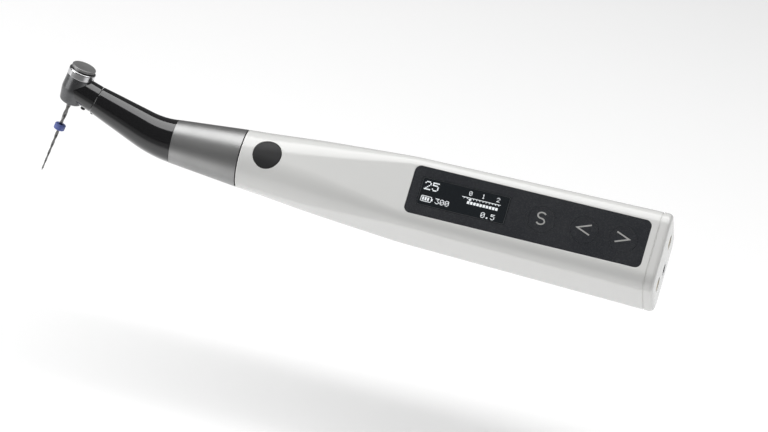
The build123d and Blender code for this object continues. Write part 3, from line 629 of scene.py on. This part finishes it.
def make_collar(finish):
    """The short collar: straight lines along the neck axis, each run until it meets the barrel.
    The meeting point is found by stepping every line inwards together."""
    start = COLLAR_START
    angle = np.linspace(0, 2 * np.pi, 112, endpoint=False)
    round_out = np.cos(angle)[:, None] * NECK[1] + np.sin(angle)[:, None] * NECK[2]

    low, high = np.full(len(angle), start), np.full(len(angle), 31.5 * MM)
    for _ in range(40):
        middle = (low + high) / 2
        radius = np.interp(middle, COLLAR_REACHES, COLLAR_RADII)
        point = BEND_POINT + middle[:, None] * NECK_DIR + radius[:, None] * round_out
        local = point - DISC_TOP
        depth = local @ FILE_DIR
        apart = np.linalg.norm(local - depth[:, None] * FILE_DIR, axis=1)
        outside = apart > barrel_radius(depth) - 0.02 * MM
        low, high = np.where(outside, middle, low), np.where(outside, high, middle)
    edge = 0.12 * MM
    share = np.concatenate(([0, 0], np.linspace(0, 1, 14)))[:, None]
    reach = start + edge * (share > 0) + (low - start - edge) * share
    radius = np.interp(reach, COLLAR_REACHES, COLLAR_RADII)
    radius[0] -= 0.9 * MM
    radius[1] -= edge
    reach[:2] = start
    points = BEND_POINT + reach[..., None] * NECK_DIR + radius[..., None] * round_out
    add_piece("collar_skin", [surface(points)], "contra", finish["neck"], ["front_collar"],
              crease=50, outward_from=BEND_POINT + NECK_DIR * 27 * MM)


def make_head(finish):
    """Barrel, polished ring with its spanner notch, push disc with its groove, all turned."""
    barrel = [(3.4, 3.74, 0), (4.4, 3.74, 0.12), (4.58, 8.6, 6.0), (3.68, 13.3, 1.25), (1.9, 13.3, 0.15),
              (1.9, 12.4, 0)]
    add_piece("head_barrel", [turned_part(HEAD, barrel, 128, 8)], "contra", finish["head"],
              ["head_housing"], crease=35, outward_from=DISC_TOP + FILE_DIR * 8 * MM)
    ring = [(3.6, 3.2, 0), (3.6, 1.3, 0.08), (4.55, 1.3, 0.42), (4.55, 1.95, 0), (4.55, 2.0, 0),
            (4.55, 3.2, 0), (4.55, 3.25, 0), (4.55, 3.7, 0.2), (4.0, 3.7, 0)]
    add_piece("cap_ring_skin", [turned_part(HEAD, ring, 160, 6, spanner_notch)], "contra", finish["ring"],
              ["cap_ring"], crease=35, outward_from=DISC_TOP + FILE_DIR * 2.5 * MM)
    disc = [(0.0, 0.12, 0), (3.0, 0.0, 8.0), (4.05, 0.0, 0.3), (4.05, 0.8, 0.1), (3.5, 0.8, 0.05),
            (3.5, 2.5, 0.05), (3.0, 2.5, 0)]
    add_piece("push_disc", [turned_part(HEAD, disc, 128, 6)], "release_button", finish["disc"],
              ["push_button"], crease=35, outward_from=DISC_TOP + FILE_DIR * 1.2 * MM)


def spanner_notch(angle, height):
    """1 round the ring, and a shallow flat towards the neck where a spanner holds it."""
    towards_neck = np.cos(angle - np.pi / 2)
    half_flat = np.cos(np.radians(14))
    flat = np.where(towards_neck > half_flat, half_flat / np.maximum(towards_neck, 0.1), 1)
    return np.where((height > 1.97 * MM) & (height < 3.23 * MM), flat, 1.0)


def make_studs(finish, sizes):
    """Two small domed studs under the neck."""
    for name, reach, radius, top in (("stud_seam", 22.9, 0.5, sizes.seam_stud / MM),
                                     ("stud_front", 26.2, 0.8, sizes.front_stud / MM)):
        origin = BEND_POINT + NECK_DIR * reach * MM
        down = np.cross(NECK_DIR, Y)
        axes = (origin, NECK_DIR, Y, down)
        corners = [(0.001, top, 0), (radius, top, 0.25), (radius, 3.6, 0)]
        add_piece(name, [turned_part(axes, corners, 40)], "contra", finish["button"],
                  ["neck_studs"] if name == "stud_seam" else (), outward_from=origin + down * 3 * MM)


def make_file(finish, sizes):
    """Shank cone and the spiral blade. The blade's section is a two-lobed twist: radius x (1 - cut
    x (1 + cos(2a - twist)) / 2), the twist gathering pace towards the tip."""
    depth = np.linspace(FILE_EXIT, FILE_END, 420)
    share = (depth - depth[0]) / (depth[-1] - depth[0])
    radius = np.interp(share, (0, 0.4, 0.97, 1.0), np.array((0.74, 0.56, 0.26, 0.05)) * MM)
    pitch = np.interp(share, (0, 1), np.array((4.4, 2.6)) * MM)
    twist = np.cumsum(np.diff(depth, prepend=depth[0]) / pitch) * 2 * np.pi
    angle = np.linspace(0, 2 * np.pi, 36, endpoint=False)
    cut = np.interp(share, (0, 0.05, 0.95, 1), (0, sizes.flute_cut, sizes.flute_cut, 0.1))
    lobes = 1 - cut[:, None] * (1 + np.cos(2 * angle[None] - twist[:, None])) / 2
    round_out = np.cos(angle)[:, None] * HEAD[1] + np.sin(angle)[:, None] * HEAD[2]
    points = DISC_TOP + depth[:, None, None] * FILE_DIR + (radius[:, None] * lobes)[..., None] * round_out
    tip = DISC_TOP + FILE_DIR * (FILE_END + 0.02 * MM)
    add_piece("file_flutes", [surface(points), closed_end(points[-1], tip)], "file", finish["file"],
              ["file_blade"], crease=60, outward_from=DISC_TOP + FILE_DIR * 26 * MM)
    shank = [(0.001, 5.0, 0), (1.0, 5.0, 0), (1.175, 5.2, 0), (1.175, 12.9, 0.1), (0.66, 14.0, 0)]
    add_piece("file_shank_skin", [turned_part(HEAD, shank, 48)], "file", finish["steel"],
              ["file_shank"], outward_from=DISC_TOP + FILE_DIR * 9 * MM)


def make_stop(finish, sizes):
    """The silicone stop: a thick rounded washer."""
    radius, top, bottom = sizes.stop_radius / MM, STOP_DEPTH - STOP_HALF, STOP_DEPTH + STOP_HALF
    corners = [(STOP_BORE, top, 0), (radius, top, 0.3), (radius, bottom, 0.3), (STOP_BORE, bottom, 0),
               (STOP_BORE, top, 0)]
    add_piece("stop_washer", [turned_part(HEAD, corners, 72, 6)], "depth_stop", finish["silicone"],
              ["silicone_stop"], crease=60,
              outward_from=DISC_TOP + FILE_DIR * STOP_DEPTH * MM)


def make_tail(finish):
    """The end cap from the frame with smooth fillets, its gasket line, contacts and probe jack."""
    smooth_copy("tail_cap", "tail_cap_skin", finish["shell"], 40)
    smooth_copy("tail_gasket", "gasket_line", finish["shell"], 40)
    smooth_copy("charging_contacts", "contact_pads", finish["gold"], 40)
    smooth_copy("probe_jack", "jack_barrel", finish["steel"], 40)


def make_door(finish):
    """The battery door with its two screws, from the frame, smoothed."""
    smooth_copy("battery_cover", "door_skin", finish["shell"], 30)
    smooth_copy("cover_screws", "door_screws", finish["steel"], 30)


# ---- shared effects -----------------------------------------------------------------------
def add_node(tree, kind, given=None, **settings):
    """A shader node with its settings. Each input in given is set, or linked if it is a socket."""
    made = tree.nodes.new("ShaderNode" + kind)
    for name, value in settings.items():
        setattr(made, name, value)
    for socket, value in (given or {}).items():
        if isinstance(value, bpy.types.NodeSocket):
            tree.links.new(value, made.inputs[socket])
        else:
            made.inputs[socket].default_value = value
    return made


def effect(name, inputs, outputs):
    """An empty shader group with named sockets, and its input and output nodes."""
    group = bpy.data.node_groups.new(name, "ShaderNodeTree")
    for label, kind, default in inputs:
        socket = group.interface.new_socket(label, in_out="INPUT", socket_type=kind)
        if default is not None:
            socket.default_value = default
    for label, kind in outputs:
        group.interface.new_socket(label, in_out="OUTPUT", socket_type=kind)
    return group, group.nodes.new("NodeGroupInput").outputs, group.nodes.new("NodeGroupOutput").inputs


def surface_grain():
    """Height of a fine grain, and a slow cloudy mask of where the surface has been handled."""
    group, given, result = effect(
        "surface_grain",
        (("Vector", "NodeSocketVector", None), ("Grain Scale", "NodeSocketFloat", 4000.0),
         ("Cloud Scale", "NodeSocketFloat", 60.0)),
        (("Height", "NodeSocketFloat"), ("Cloud", "NodeSocketFloat")),
    )
    fine = add_node(group, "TexNoise", {"Vector": given["Vector"], "Scale": given["Grain Scale"],
                                        "Detail": 3.0})
    slow = add_node(group, "TexNoise", {"Vector": given["Vector"], "Scale": given["Cloud Scale"],
                                        "Detail": 5.0, "Roughness": 0.6})
    spread = add_node(group, "MapRange", {"Value": slow.outputs["Fac"], "From Min": 0.32, "From Max": 0.68})
    group.links.new(fine.outputs["Fac"], result["Height"])
    group.links.new(spread.outputs["Result"], result["Cloud"])
    return group


def metal_flecks():
    """Mask of sparse bright flecks: the cells of a fine mosaic whose random value is high."""
    group, given, result = effect(
        "metal_flecks",
        (("Vector", "NodeSocketVector", None), ("Scale", "NodeSocketFloat", 6000.0),
         ("Share", "NodeSocketFloat", 0.2)),
        (("Mask", "NodeSocketFloat"),),
    )
    cells = add_node(group, "TexVoronoi", {"Vector": given["Vector"], "Scale": given["Scale"]})
    parts = add_node(group, "SeparateColor", {"Color": cells.outputs["Color"]})
    level = add_node(group, "Math", {0: 1.0, 1: given["Share"]}, operation="SUBTRACT")
    lit = add_node(group, "MapRange", {"Value": parts.outputs["Red"], "From Min": level.outputs["Value"],
                                       "From Max": 1.0, "To Max": 1.0})
    group.links.new(lit.outputs["Result"], result["Mask"])
    return group


def turned_marks():
    """Height of fine tool marks: noise drawn out round the Z axis of the given vector."""
    group, given, result = effect(
        "turned_marks",
        (("Vector", "NodeSocketVector", None), ("Scale", "NodeSocketFloat", 900.0)),
        (("Height", "NodeSocketFloat"),),
    )
    squeeze = add_node(group, "VectorMath", {0: given["Vector"], 1: (0.04, 0.04, 4.0)}, operation="MULTIPLY")
    marks = add_node(group, "TexNoise", {"Vector": squeeze.outputs["Vector"], "Scale": given["Scale"],
                                         "Detail": 4.0})
    group.links.new(marks.outputs["Fac"], result["Height"])
    return group


GROUPS = {"surface_grain": surface_grain, "metal_flecks": metal_flecks, "turned_marks": turned_marks}


def placed_group(tree, name, given):
    """A node of the shared effect of that name, which is made the first time."""
    return add_node(tree, "Group", given, node_tree=bpy.data.node_groups.get(name) or GROUPS[name]())


def mixed(tree, factor, low, high):
    """A colour between low and high by a mask."""
    given = {0: factor}
    for socket, value in ((6, low), (7, high)):
        given[socket] = value if isinstance(value, bpy.types.NodeSocket) else (*value, 1.0)
    return add_node(tree, "Mix", given, data_type="RGBA", clamp_factor=True).outputs[2]


def finish_material(name, colour, shade=0.85, rough=(0.3, 0.4), metallic=0.0, coat=0.0, coat_rough=0.05,
                    grain=4000.0, depth=0.004, cloud=60.0, turned=None, marks=900.0, fleck=None, glow=0.0,
                    soft=0.0, edge=1.0):
    """A finish with cloudy colour and roughness and a fine raised grain. turned is the axis of
    tool marks, fleck is (colour, scale, share), soft is how much light enters the skin, and edge is
    the brightness of a metal seen edge on."""
    material = bpy.data.materials.new(name)
    material.use_nodes = True
    tree = material.node_tree
    shader = tree.nodes["Principled BSDF"]
    place = add_node(tree, "TexCoord").outputs["Object"]
    grained = placed_group(tree, "surface_grain", {"Vector": place, "Grain Scale": grain,
                                                   "Cloud Scale": cloud})
    cloudy, height = grained.outputs["Cloud"], grained.outputs["Height"]
    base = mixed(tree, cloudy, colour, [part * shade for part in colour])
    roughness = add_node(tree, "MapRange", {"Value": cloudy, "To Min": rough[0], "To Max": rough[1]})
    if turned is not None:
        turn = Vector((0, 0, 1)).rotation_difference(Vector(turned)).inverted().to_euler()
        along = add_node(tree, "Mapping", {"Vector": place, "Rotation": turn}, vector_type="POINT")
        lines = placed_group(tree, "turned_marks", {"Vector": along.outputs["Vector"], "Scale": marks})
        both = add_node(tree, "Math", {0: height, 1: lines.outputs["Height"]}, operation="ADD")
        height = both.outputs["Value"]
    if fleck:
        flecks = placed_group(tree, "metal_flecks", {"Vector": place, "Scale": fleck[1], "Share": fleck[2]})
        base = mixed(tree, flecks.outputs["Mask"], base, fleck[0])
    bump = add_node(tree, "Bump", {"Height": height, "Strength": 1.0, "Distance": depth * MM})
    tree.links.new(base, shader.inputs["Base Color"])
    tree.links.new(roughness.outputs["Result"], shader.inputs["Roughness"])
    tree.links.new(bump.outputs["Normal"], shader.inputs["Normal"])
    values = {"Metallic": metallic, "Specular Tint": (edge, edge, edge, 1.0), "Coat Weight": coat,
              "Coat Roughness": coat_rough}
    if soft:
        values.update({"Subsurface Weight": soft, "Subsurface Radius": (0.6, 0.6, 1.0),
                       "Subsurface Scale": 0.4 * MM})
    if glow:
        tree.links.new(base, shader.inputs["Emission Color"])
        values["Emission Strength"] = glow
    for socket, value in values.items():
        shader.inputs[socket].default_value = value
    return material


def make_finishes(colours):
    """Every finish of the object, by name; SLOT_FINISH matches the frame's slots to these names."""
    return {
        "shell": finish_material("shell_gloss", colours.shell, 0.985, (0.16, 0.24), coat=0.5, coat_rough=0.04,
                                 grain=1800, depth=0.0006, cloud=25),
        "sleeve": finish_material("sleeve_satin", colours.sleeve, 0.9, (0.34, 0.42), 0.9, grain=9000,
                                  depth=0.004, turned=X, marks=700),
        "neck": finish_material("neck_gloss", colours.neck, 0.8, (0.10, 0.16), coat=1.0, coat_rough=0.03,
                                grain=2500, depth=0.0005),
        "head": finish_material("head_satin", colours.head, 0.9, (0.24, 0.3), 1.0, grain=9000, depth=0.003,
                                turned=FILE_DIR, marks=900),
        "ring": finish_material("ring_polish", colours.ring, 0.95, (0.08, 0.14), 1.0, depth=0.0004,
                                turned=FILE_DIR, marks=1200),
        "disc": finish_material("disc_satin", colours.disc, 0.92, (0.48, 0.56), 1.0, depth=0.002,
                                turned=FILE_DIR, marks=900),
        "file": finish_material("file_ground", colours.file, 0.85, (0.12, 0.2), 1.0, depth=0.001, cloud=300,
                                edge=0.25),
        "silicone": finish_material("silicone_soft", colours.silicone, 0.92, (0.45, 0.55), grain=3500,
                                    depth=0.006, soft=0.35),
        "button": finish_material("button_soft", colours.button, 0.8, (0.55, 0.65), grain=7000, depth=0.01),
        "panel": finish_material("panel_film", colours.panel, 0.85, (0.3, 0.38), coat=0.35, coat_rough=0.2,
                                 grain=9000, depth=0.002, fleck=((0.03, 0.032, 0.036), 5000, 0.4)),
        "window": finish_material("window_tint", colours.window, 0.9, (0.08, 0.12), coat=0.6, coat_rough=0.04,
                                  depth=0.0003),
        "line": finish_material("window_outline", (0.06, 0.062, 0.065), 0.9, (0.3, 0.4)),
        "print": finish_material("key_print", colours.print, 0.93, (0.45, 0.55), depth=0.001),
        "display": finish_material("display_light", colours.display, 0.95, (0.4, 0.5), glow=0.35),
        "steel": finish_material("ground_steel", (0.62, 0.62, 0.63), 0.85, (0.24, 0.34), 1.0, turned=X),
        "brass": finish_material("plain_brass", (0.8, 0.62, 0.32), 0.85, (0.25, 0.35), 1.0, turned=X),
        "gold": finish_material("gold_plate", (0.9, 0.68, 0.3), 0.92, (0.15, 0.25), 1.0),
        "board": finish_material("board_resist", (0.02, 0.2, 0.07), 0.8, (0.3, 0.45), coat=0.3),
        "frame": finish_material("frame_moulding", (0.12, 0.12, 0.125), 0.85, (0.5, 0.6), depth=0.008),
        "rubber": finish_material("seal_rubber", (0.02, 0.02, 0.02), 0.8, (0.65, 0.8), depth=0.008),
        "wrap": finish_material("cell_film", (0.05, 0.18, 0.42), 0.9, (0.25, 0.35), coat=0.3),
        "glass": finish_material("display_back", (0.08, 0.085, 0.09), 0.9, (0.1, 0.2)),
    }


SLOT_FINISH = {
    "shell_white": "shell", "sleeve_grey": "sleeve", "neck_black": "neck", "head_grey": "head",
    "ring_polished": "ring", "disc_grey": "disc", "file_metal": "file", "silicone_violet": "silicone",
    "button_black": "button", "panel_dark": "panel", "window_dark": "window", "steel": "steel",
    "brass": "brass", "gold": "gold", "board_green": "board", "frame_plastic": "frame",
    "rubber_black": "rubber", "cell_wrap": "wrap", "display_grey": "glass",
}
MADE = {}  # finishes made by the first operator, by name

FLOOR_HALF = 3.0  # half a side of the floor
FLOOR_LIFT = 0.1  # glow of the floor seen straight by the camera
# painted shade: the floor's colour in front darkens between these places, seen only in gloss and metal
# reflections
DIM_START_Y, DIM_END_Y = -0.07, -0.17  # where the floor in front starts to dim, and is fully dimmed
CAMERA_RIGHT = np.array((0.9607, 0.2078, 0.1842))
CAMERA_UP = np.array((-0.2404, 0.2904, 0.9262))
CAMERA_BACK = np.array((0.139, -0.934, 0.329))
AIM = CAMERA_RIGHT * -90.3 * MM + CAMERA_UP * 15.27 * MM  # middle of the view


def make_mechanism(finish):
    """Gives every frame node its finish, and smooth copies to turned parts that a pose shows."""
    for part in frame["record"]["subparts"]:
        node = frame["nodes"][part["node"]]
        for place in node.material_slots:
            place.material = finish[SLOT_FINISH[part["material_slot"]]]
    shown = {"motor_nose": "steel", "index_ring": "steel", "coupling_tube": "steel", "output_shaft": "steel",
             "nose_seal": "rubber_black", "input_shaft": "steel", "input_carrier": "frame_plastic",
             "button_spring": "steel", "nose_bearing": "steel", "cover_inserts": "brass",
             "cover_gasket": "rubber_black", "battery_cell": "cell_wrap"}
    for node, slot in shown.items():
        smooth_copy(node, node + "_smooth", finish[SLOT_FINISH[slot]], 35)


def area_light(name, where, size, power, aim):
    light = bpy.data.lights.new(name, "AREA")
    light.shape = "RECTANGLE"
    light.size, light.size_y = size
    light.energy = power
    lamp = bpy.data.objects.new(name, light)
    lamp.location = where
    lamp.rotation_euler = (Vector(aim) - Vector(where)).to_track_quat("-Z", "Y").to_euler()
    bpy.context.scene.collection.objects.link(lamp)


def floor_material(colour, front_shade):
    """Pale paper. Gloss and metal see the part well in front of the object darker: painted shade in the
    floor's colour that only reflections see, so the polished faces show dark reflections with no dark card
    there."""
    material = finish_material("floor_paper", colour, 0.99, (0.8, 0.9), grain=400, depth=0.02, cloud=3)
    tree = material.node_tree
    shader = tree.nodes["Principled BSDF"]
    paper = shader.inputs["Base Color"].links[0].from_socket
    place = add_node(tree, "TexCoord")
    split = add_node(tree, "SeparateXYZ", {"Vector": place.outputs["Object"]})
    behind = add_node(tree, "MapRange", {"Value": split.outputs["Y"], "From Min": DIM_END_Y,
                                         "From Max": DIM_START_Y}, interpolation_type="SMOOTHSTEP")
    seen = add_node(tree, "LightPath")
    plain = add_node(tree, "Math", {0: 1.0, 1: seen.outputs["Is Glossy Ray"]}, operation="SUBTRACT")
    full = add_node(tree, "Math", {0: behind.outputs["Result"], 1: plain.outputs["Value"]},
                    operation="MAXIMUM")
    lift = add_node(tree, "Math", {0: seen.outputs["Is Camera Ray"], 1: FLOOR_LIFT}, operation="MULTIPLY")
    # painted shade: the floor's colour in front, darkened for gloss and metal reflections only
    painted_reflection_shade = [part * front_shade for part in colour]
    tree.links.new(mixed(tree, full.outputs["Value"], painted_reflection_shade, paper), shader.inputs["Base Color"])
    tree.links.new(lift.outputs["Value"], shader.inputs["Emission Strength"])
    shader.inputs["Emission Color"].default_value = (1, 1, 1, 1)
    return material


def make_stage(stage):
    """Floor, soft boxes, pale surroundings and the camera."""
    corners = [(way_x * FLOOR_HALF, way_y * FLOOR_HALF, stage.floor_height)
               for way_x, way_y in ((-1, -1), (1, -1), (1, 1), (-1, 1))]
    mesh = bpy.data.meshes.new("studio_floor")
    mesh.from_pydata(corners, [], [(0, 1, 2, 3)])
    floor = bpy.data.objects.new("studio_floor", mesh)
    bpy.context.scene.collection.objects.link(floor)
    mesh.materials.append(floor_material(stage.floor_colour, stage.front_shade))

    middle = AIM - CAMERA_BACK * 0.05
    overhead = middle + np.array((0, 0.05, 0.95))
    left = middle - CAMERA_RIGHT * 0.75 + CAMERA_UP * 0.25 + CAMERA_BACK * 0.3
    area_light("overhead_box", overhead, (2.2, 0.9), stage.key_power, middle)
    area_light("left_box", left, (0.5, 0.6), stage.side_power, middle)
    world = bpy.data.worlds.new("studio")
    world.use_nodes = True
    tree = world.node_tree
    pale = tree.nodes["Background"]
    pale.inputs["Color"].default_value = (1, 1, 1, 1)
    pale.inputs["Strength"].default_value = 1.0
    room = add_node(tree, "Background", {"Strength": stage.surround})
    seen = add_node(tree, "LightPath")
    mix = add_node(tree, "MixShader", {0: seen.outputs["Is Camera Ray"], 1: room.outputs["Background"],
                                       2: pale.outputs["Background"]})
    tree.links.new(mix.outputs["Shader"], tree.nodes["World Output"].inputs["Surface"])
    bpy.context.scene.world = world
    bpy.context.scene.view_settings.view_transform = "Standard"

    camera = bpy.data.cameras.new("studio_camera")
    camera.sensor_width = 36.0
    camera.lens = stage.lens
    camera.clip_end = 20.0
    eye = bpy.data.objects.new("studio_camera", camera)
    turn = Matrix((CAMERA_RIGHT, CAMERA_UP, CAMERA_BACK)).transposed().to_4x4()
    eye.matrix_world = Matrix.Translation(AIM + CAMERA_BACK * stage.distance) @ turn
    bpy.context.scene.collection.objects.link(eye)
    bpy.context.scene.camera = eye


# ---- settings, operators and panel --------------------------------------------------------
def colour_property(name, description, value):
    return FloatVectorProperty(name=name, description=description, default=value, subtype="COLOR",
                               min=0.0, max=1.0)


class HandpieceColours(bpy.types.PropertyGroup):
    """Colours of the finishes."""
    shell: colour_property("Shell", "Glossy white body", (0.76, 0.76, 0.745))
    sleeve: colour_property("Sleeve", "Satin metal sleeve", (0.4, 0.4, 0.398))
    neck: colour_property("Neck", "Gloss black neck", (0.008, 0.008, 0.009))
    head: colour_property("Head", "Satin metal head", (0.16, 0.162, 0.166))
    ring: colour_property("Ring", "Polished cap ring", (0.66, 0.66, 0.67))
    disc: colour_property("Disc", "Release button disc", (0.34, 0.34, 0.34))
    file: colour_property("File", "Ground file blade", (0.22, 0.217, 0.214))
    silicone: colour_property("Stop", "Silicone depth stop", (0.125, 0.165, 0.43))
    button: colour_property("Button", "Soft-touch power button", (0.012, 0.012, 0.013))
    panel: colour_property("Panel", "Dark panel film", (0.006, 0.0077, 0.012))
    window: colour_property("Window", "Tinted display window", (0.011, 0.014, 0.017))
    print: colour_property("Key marks", "Printed marks of the keys", (0.40, 0.40, 0.39))
    display: colour_property("Readout", "Lit figures of the display", (0.75, 0.78, 0.8))


def length_property(name, description, value):
    return FloatProperty(name=name, description=description, default=value, unit="LENGTH", precision=5)


class HandpieceSizes(bpy.types.PropertyGroup):
    """Sizes of the details."""
    mark_stroke: length_property("Key mark line", "Width of the lines of the key marks", 0.48 * MM)
    seam_stud: length_property("Seam stud", "Height of the small stud over the neck's axis", 5.3 * MM)
    front_stud: length_property("Front stud", "Height of the front stud over the neck's axis", 5.5 * MM)
    stop_radius: length_property("Stop radius", "Outside radius of the silicone stop", 1.85 * MM)
    flute_cut: FloatProperty(name="Flute depth", description="Depth of the file's flutes over its radius",
                             default=0.3, min=0.0, max=0.9)


class HandpieceStage(bpy.types.PropertyGroup):
    """Floor, lights and camera."""
    floor_height: FloatProperty(name="Floor height", description="Height of the floor", default=-0.075,
                                unit="LENGTH")
    floor_colour: colour_property("Floor", "Pale floor", (0.93, 0.93, 0.93))
    # front_shade sets the painted shade of the floor in front, which only reflections see
    front_shade: FloatProperty(name="Front shade", description="Share of light bounced by the floor in front",
                               default=0.25, min=0.0, max=1.0)
    key_power: FloatProperty(name="Overhead", description="Power of the overhead box", default=16.0,
                             unit="POWER")
    side_power: FloatProperty(name="Side", description="Power of the side box", default=2.4, unit="POWER")
    surround: FloatProperty(name="Surround", description="Brightness of the surroundings", default=0.12)
    lens: FloatProperty(name="Lens", description="Focal length in millimetres", default=290.7,
                        subtype="DISTANCE_CAMERA")
    distance: FloatProperty(name="Distance", description="Camera distance", default=2.0, unit="LENGTH")


class HANDPIECE_OT_finishes(bpy.types.Operator):
    """Makes every finish from the chosen colours"""
    bl_idname = "handpiece.finishes"
    bl_label = "Finishes"

    def execute(self, context):
        MADE.update(make_finishes(context.scene.handpiece_colours))
        return {"FINISHED"}


class HANDPIECE_OT_mechanism(bpy.types.Operator):
    """Finishes every inner part and smooths the turned ones"""
    bl_idname = "handpiece.mechanism"
    bl_label = "Mechanism"

    def execute(self, context):
        make_mechanism(MADE)
        return {"FINISHED"}


class HANDPIECE_OT_housing(bpy.types.Operator):
    """Builds the white skin with its openings"""
    bl_idname = "handpiece.housing"
    bl_label = "Housing"

    def execute(self, context):
        make_housing(MADE)
        return {"FINISHED"}


class HANDPIECE_OT_tail(bpy.types.Operator):
    """Smooths the end cap, its seam, contacts and jack"""
    bl_idname = "handpiece.tail"
    bl_label = "Tail cap"

    def execute(self, context):
        make_tail(MADE)
        return {"FINISHED"}


class HANDPIECE_OT_panel(bpy.types.Operator):
    """Builds the panel film and the display window"""
    bl_idname = "handpiece.panel"
    bl_label = "Panel"

    def execute(self, context):
        make_panel(MADE)
        return {"FINISHED"}


class HANDPIECE_OT_display(bpy.types.Operator):
    """Draws the lit readout of the display"""
    bl_idname = "handpiece.display"
    bl_label = "Readout"

    def execute(self, context):
        make_display(MADE)
        return {"FINISHED"}


class HANDPIECE_OT_keys(bpy.types.Operator):
    """Builds the three keys and their marks"""
    bl_idname = "handpiece.keys"
    bl_label = "Keys"

    def execute(self, context):
        make_keys(MADE, context.scene.handpiece_sizes)
        return {"FINISHED"}


class HANDPIECE_OT_power_button(bpy.types.Operator):
    """Builds the round power button"""
    bl_idname = "handpiece.power_button"
    bl_label = "Power button"

    def execute(self, context):
        make_power_button(MADE)
        return {"FINISHED"}


class HANDPIECE_OT_door(bpy.types.Operator):
    """Builds the battery door and its screws"""
    bl_idname = "handpiece.door"
    bl_label = "Battery door"

    def execute(self, context):
        make_door(MADE)
        return {"FINISHED"}


class HANDPIECE_OT_sleeve(bpy.types.Operator):
    """Turns the grey sleeve"""
    bl_idname = "handpiece.sleeve"
    bl_label = "Sleeve"

    def execute(self, context):
        make_sleeve(MADE)
        return {"FINISHED"}


class HANDPIECE_OT_neck(bpy.types.Operator):
    """Sweeps the black neck"""
    bl_idname = "handpiece.neck"
    bl_label = "Neck"

    def execute(self, context):
        make_neck(MADE)
        return {"FINISHED"}


class HANDPIECE_OT_collar(bpy.types.Operator):
    """Builds the collar up to the head's barrel"""
    bl_idname = "handpiece.collar"
    bl_label = "Collar"

    def execute(self, context):
        make_collar(MADE)
        return {"FINISHED"}


class HANDPIECE_OT_studs(bpy.types.Operator):
    """Builds the two studs under the neck"""
    bl_idname = "handpiece.studs"
    bl_label = "Studs"

    def execute(self, context):
        make_studs(MADE, context.scene.handpiece_sizes)
        return {"FINISHED"}


class HANDPIECE_OT_head(bpy.types.Operator):
    """Turns the head, its polished ring and the push disc"""
    bl_idname = "handpiece.head"
    bl_label = "Head"

    def execute(self, context):
        make_head(MADE)
        return {"FINISHED"}


class HANDPIECE_OT_file(bpy.types.Operator):
    """Builds the spiral file and its shank"""
    bl_idname = "handpiece.file"
    bl_label = "File"

    def execute(self, context):
        make_file(MADE, context.scene.handpiece_sizes)
        return {"FINISHED"}


class HANDPIECE_OT_stop(bpy.types.Operator):
    """Turns the silicone stop"""
    bl_idname = "handpiece.stop"
    bl_label = "Depth stop"

    def execute(self, context):
        make_stop(MADE, context.scene.handpiece_sizes)
        return {"FINISHED"}


class HANDPIECE_OT_stage(bpy.types.Operator):
    """Lays the floor and places the lights and the camera"""
    bl_idname = "handpiece.stage"
    bl_label = "Stage"

    def execute(self, context):
        make_stage(context.scene.handpiece_stage)
        return {"FINISHED"}


STEPS = (
    HANDPIECE_OT_finishes, HANDPIECE_OT_mechanism, HANDPIECE_OT_housing, HANDPIECE_OT_tail,
    HANDPIECE_OT_panel, HANDPIECE_OT_display, HANDPIECE_OT_keys, HANDPIECE_OT_power_button,
    HANDPIECE_OT_door, HANDPIECE_OT_sleeve, HANDPIECE_OT_neck, HANDPIECE_OT_collar, HANDPIECE_OT_studs,
    HANDPIECE_OT_head, HANDPIECE_OT_file, HANDPIECE_OT_stop, HANDPIECE_OT_stage,
)


class HANDPIECE_PT_looks(bpy.types.Panel):
    """Sizes, colours, stage and building steps"""
    bl_label = "Handpiece"
    bl_idname = "HANDPIECE_PT_looks"
    bl_space_type = "VIEW_3D"
    bl_region_type = "UI"
    bl_category = "Handpiece"

    def draw(self, context):
        scene = context.scene
        for group in (scene.handpiece_sizes, scene.handpiece_colours, scene.handpiece_stage):
            for name in group.__annotations__:
                self.layout.prop(group, name)
        for step in STEPS:
            self.layout.operator(step.bl_idname)


CLASSES = (HandpieceSizes, HandpieceColours, HandpieceStage, *STEPS, HANDPIECE_PT_looks)


def register():
    for item in CLASSES:
        bpy.utils.register_class(item)
    bpy.types.Scene.handpiece_sizes = PointerProperty(type=HandpieceSizes)
    bpy.types.Scene.handpiece_colours = PointerProperty(type=HandpieceColours)
    bpy.types.Scene.handpiece_stage = PointerProperty(type=HandpieceStage)


def unregister():
    del bpy.types.Scene.handpiece_stage
    del bpy.types.Scene.handpiece_colours
    del bpy.types.Scene.handpiece_sizes
    for item in reversed(CLASSES):
        bpy.utils.unregister_class(item)


def main():
    register()
    for step in STEPS:
        getattr(bpy.ops.handpiece, step.bl_idname.split(".")[1])()


if __name__ == "__main__":
    main()
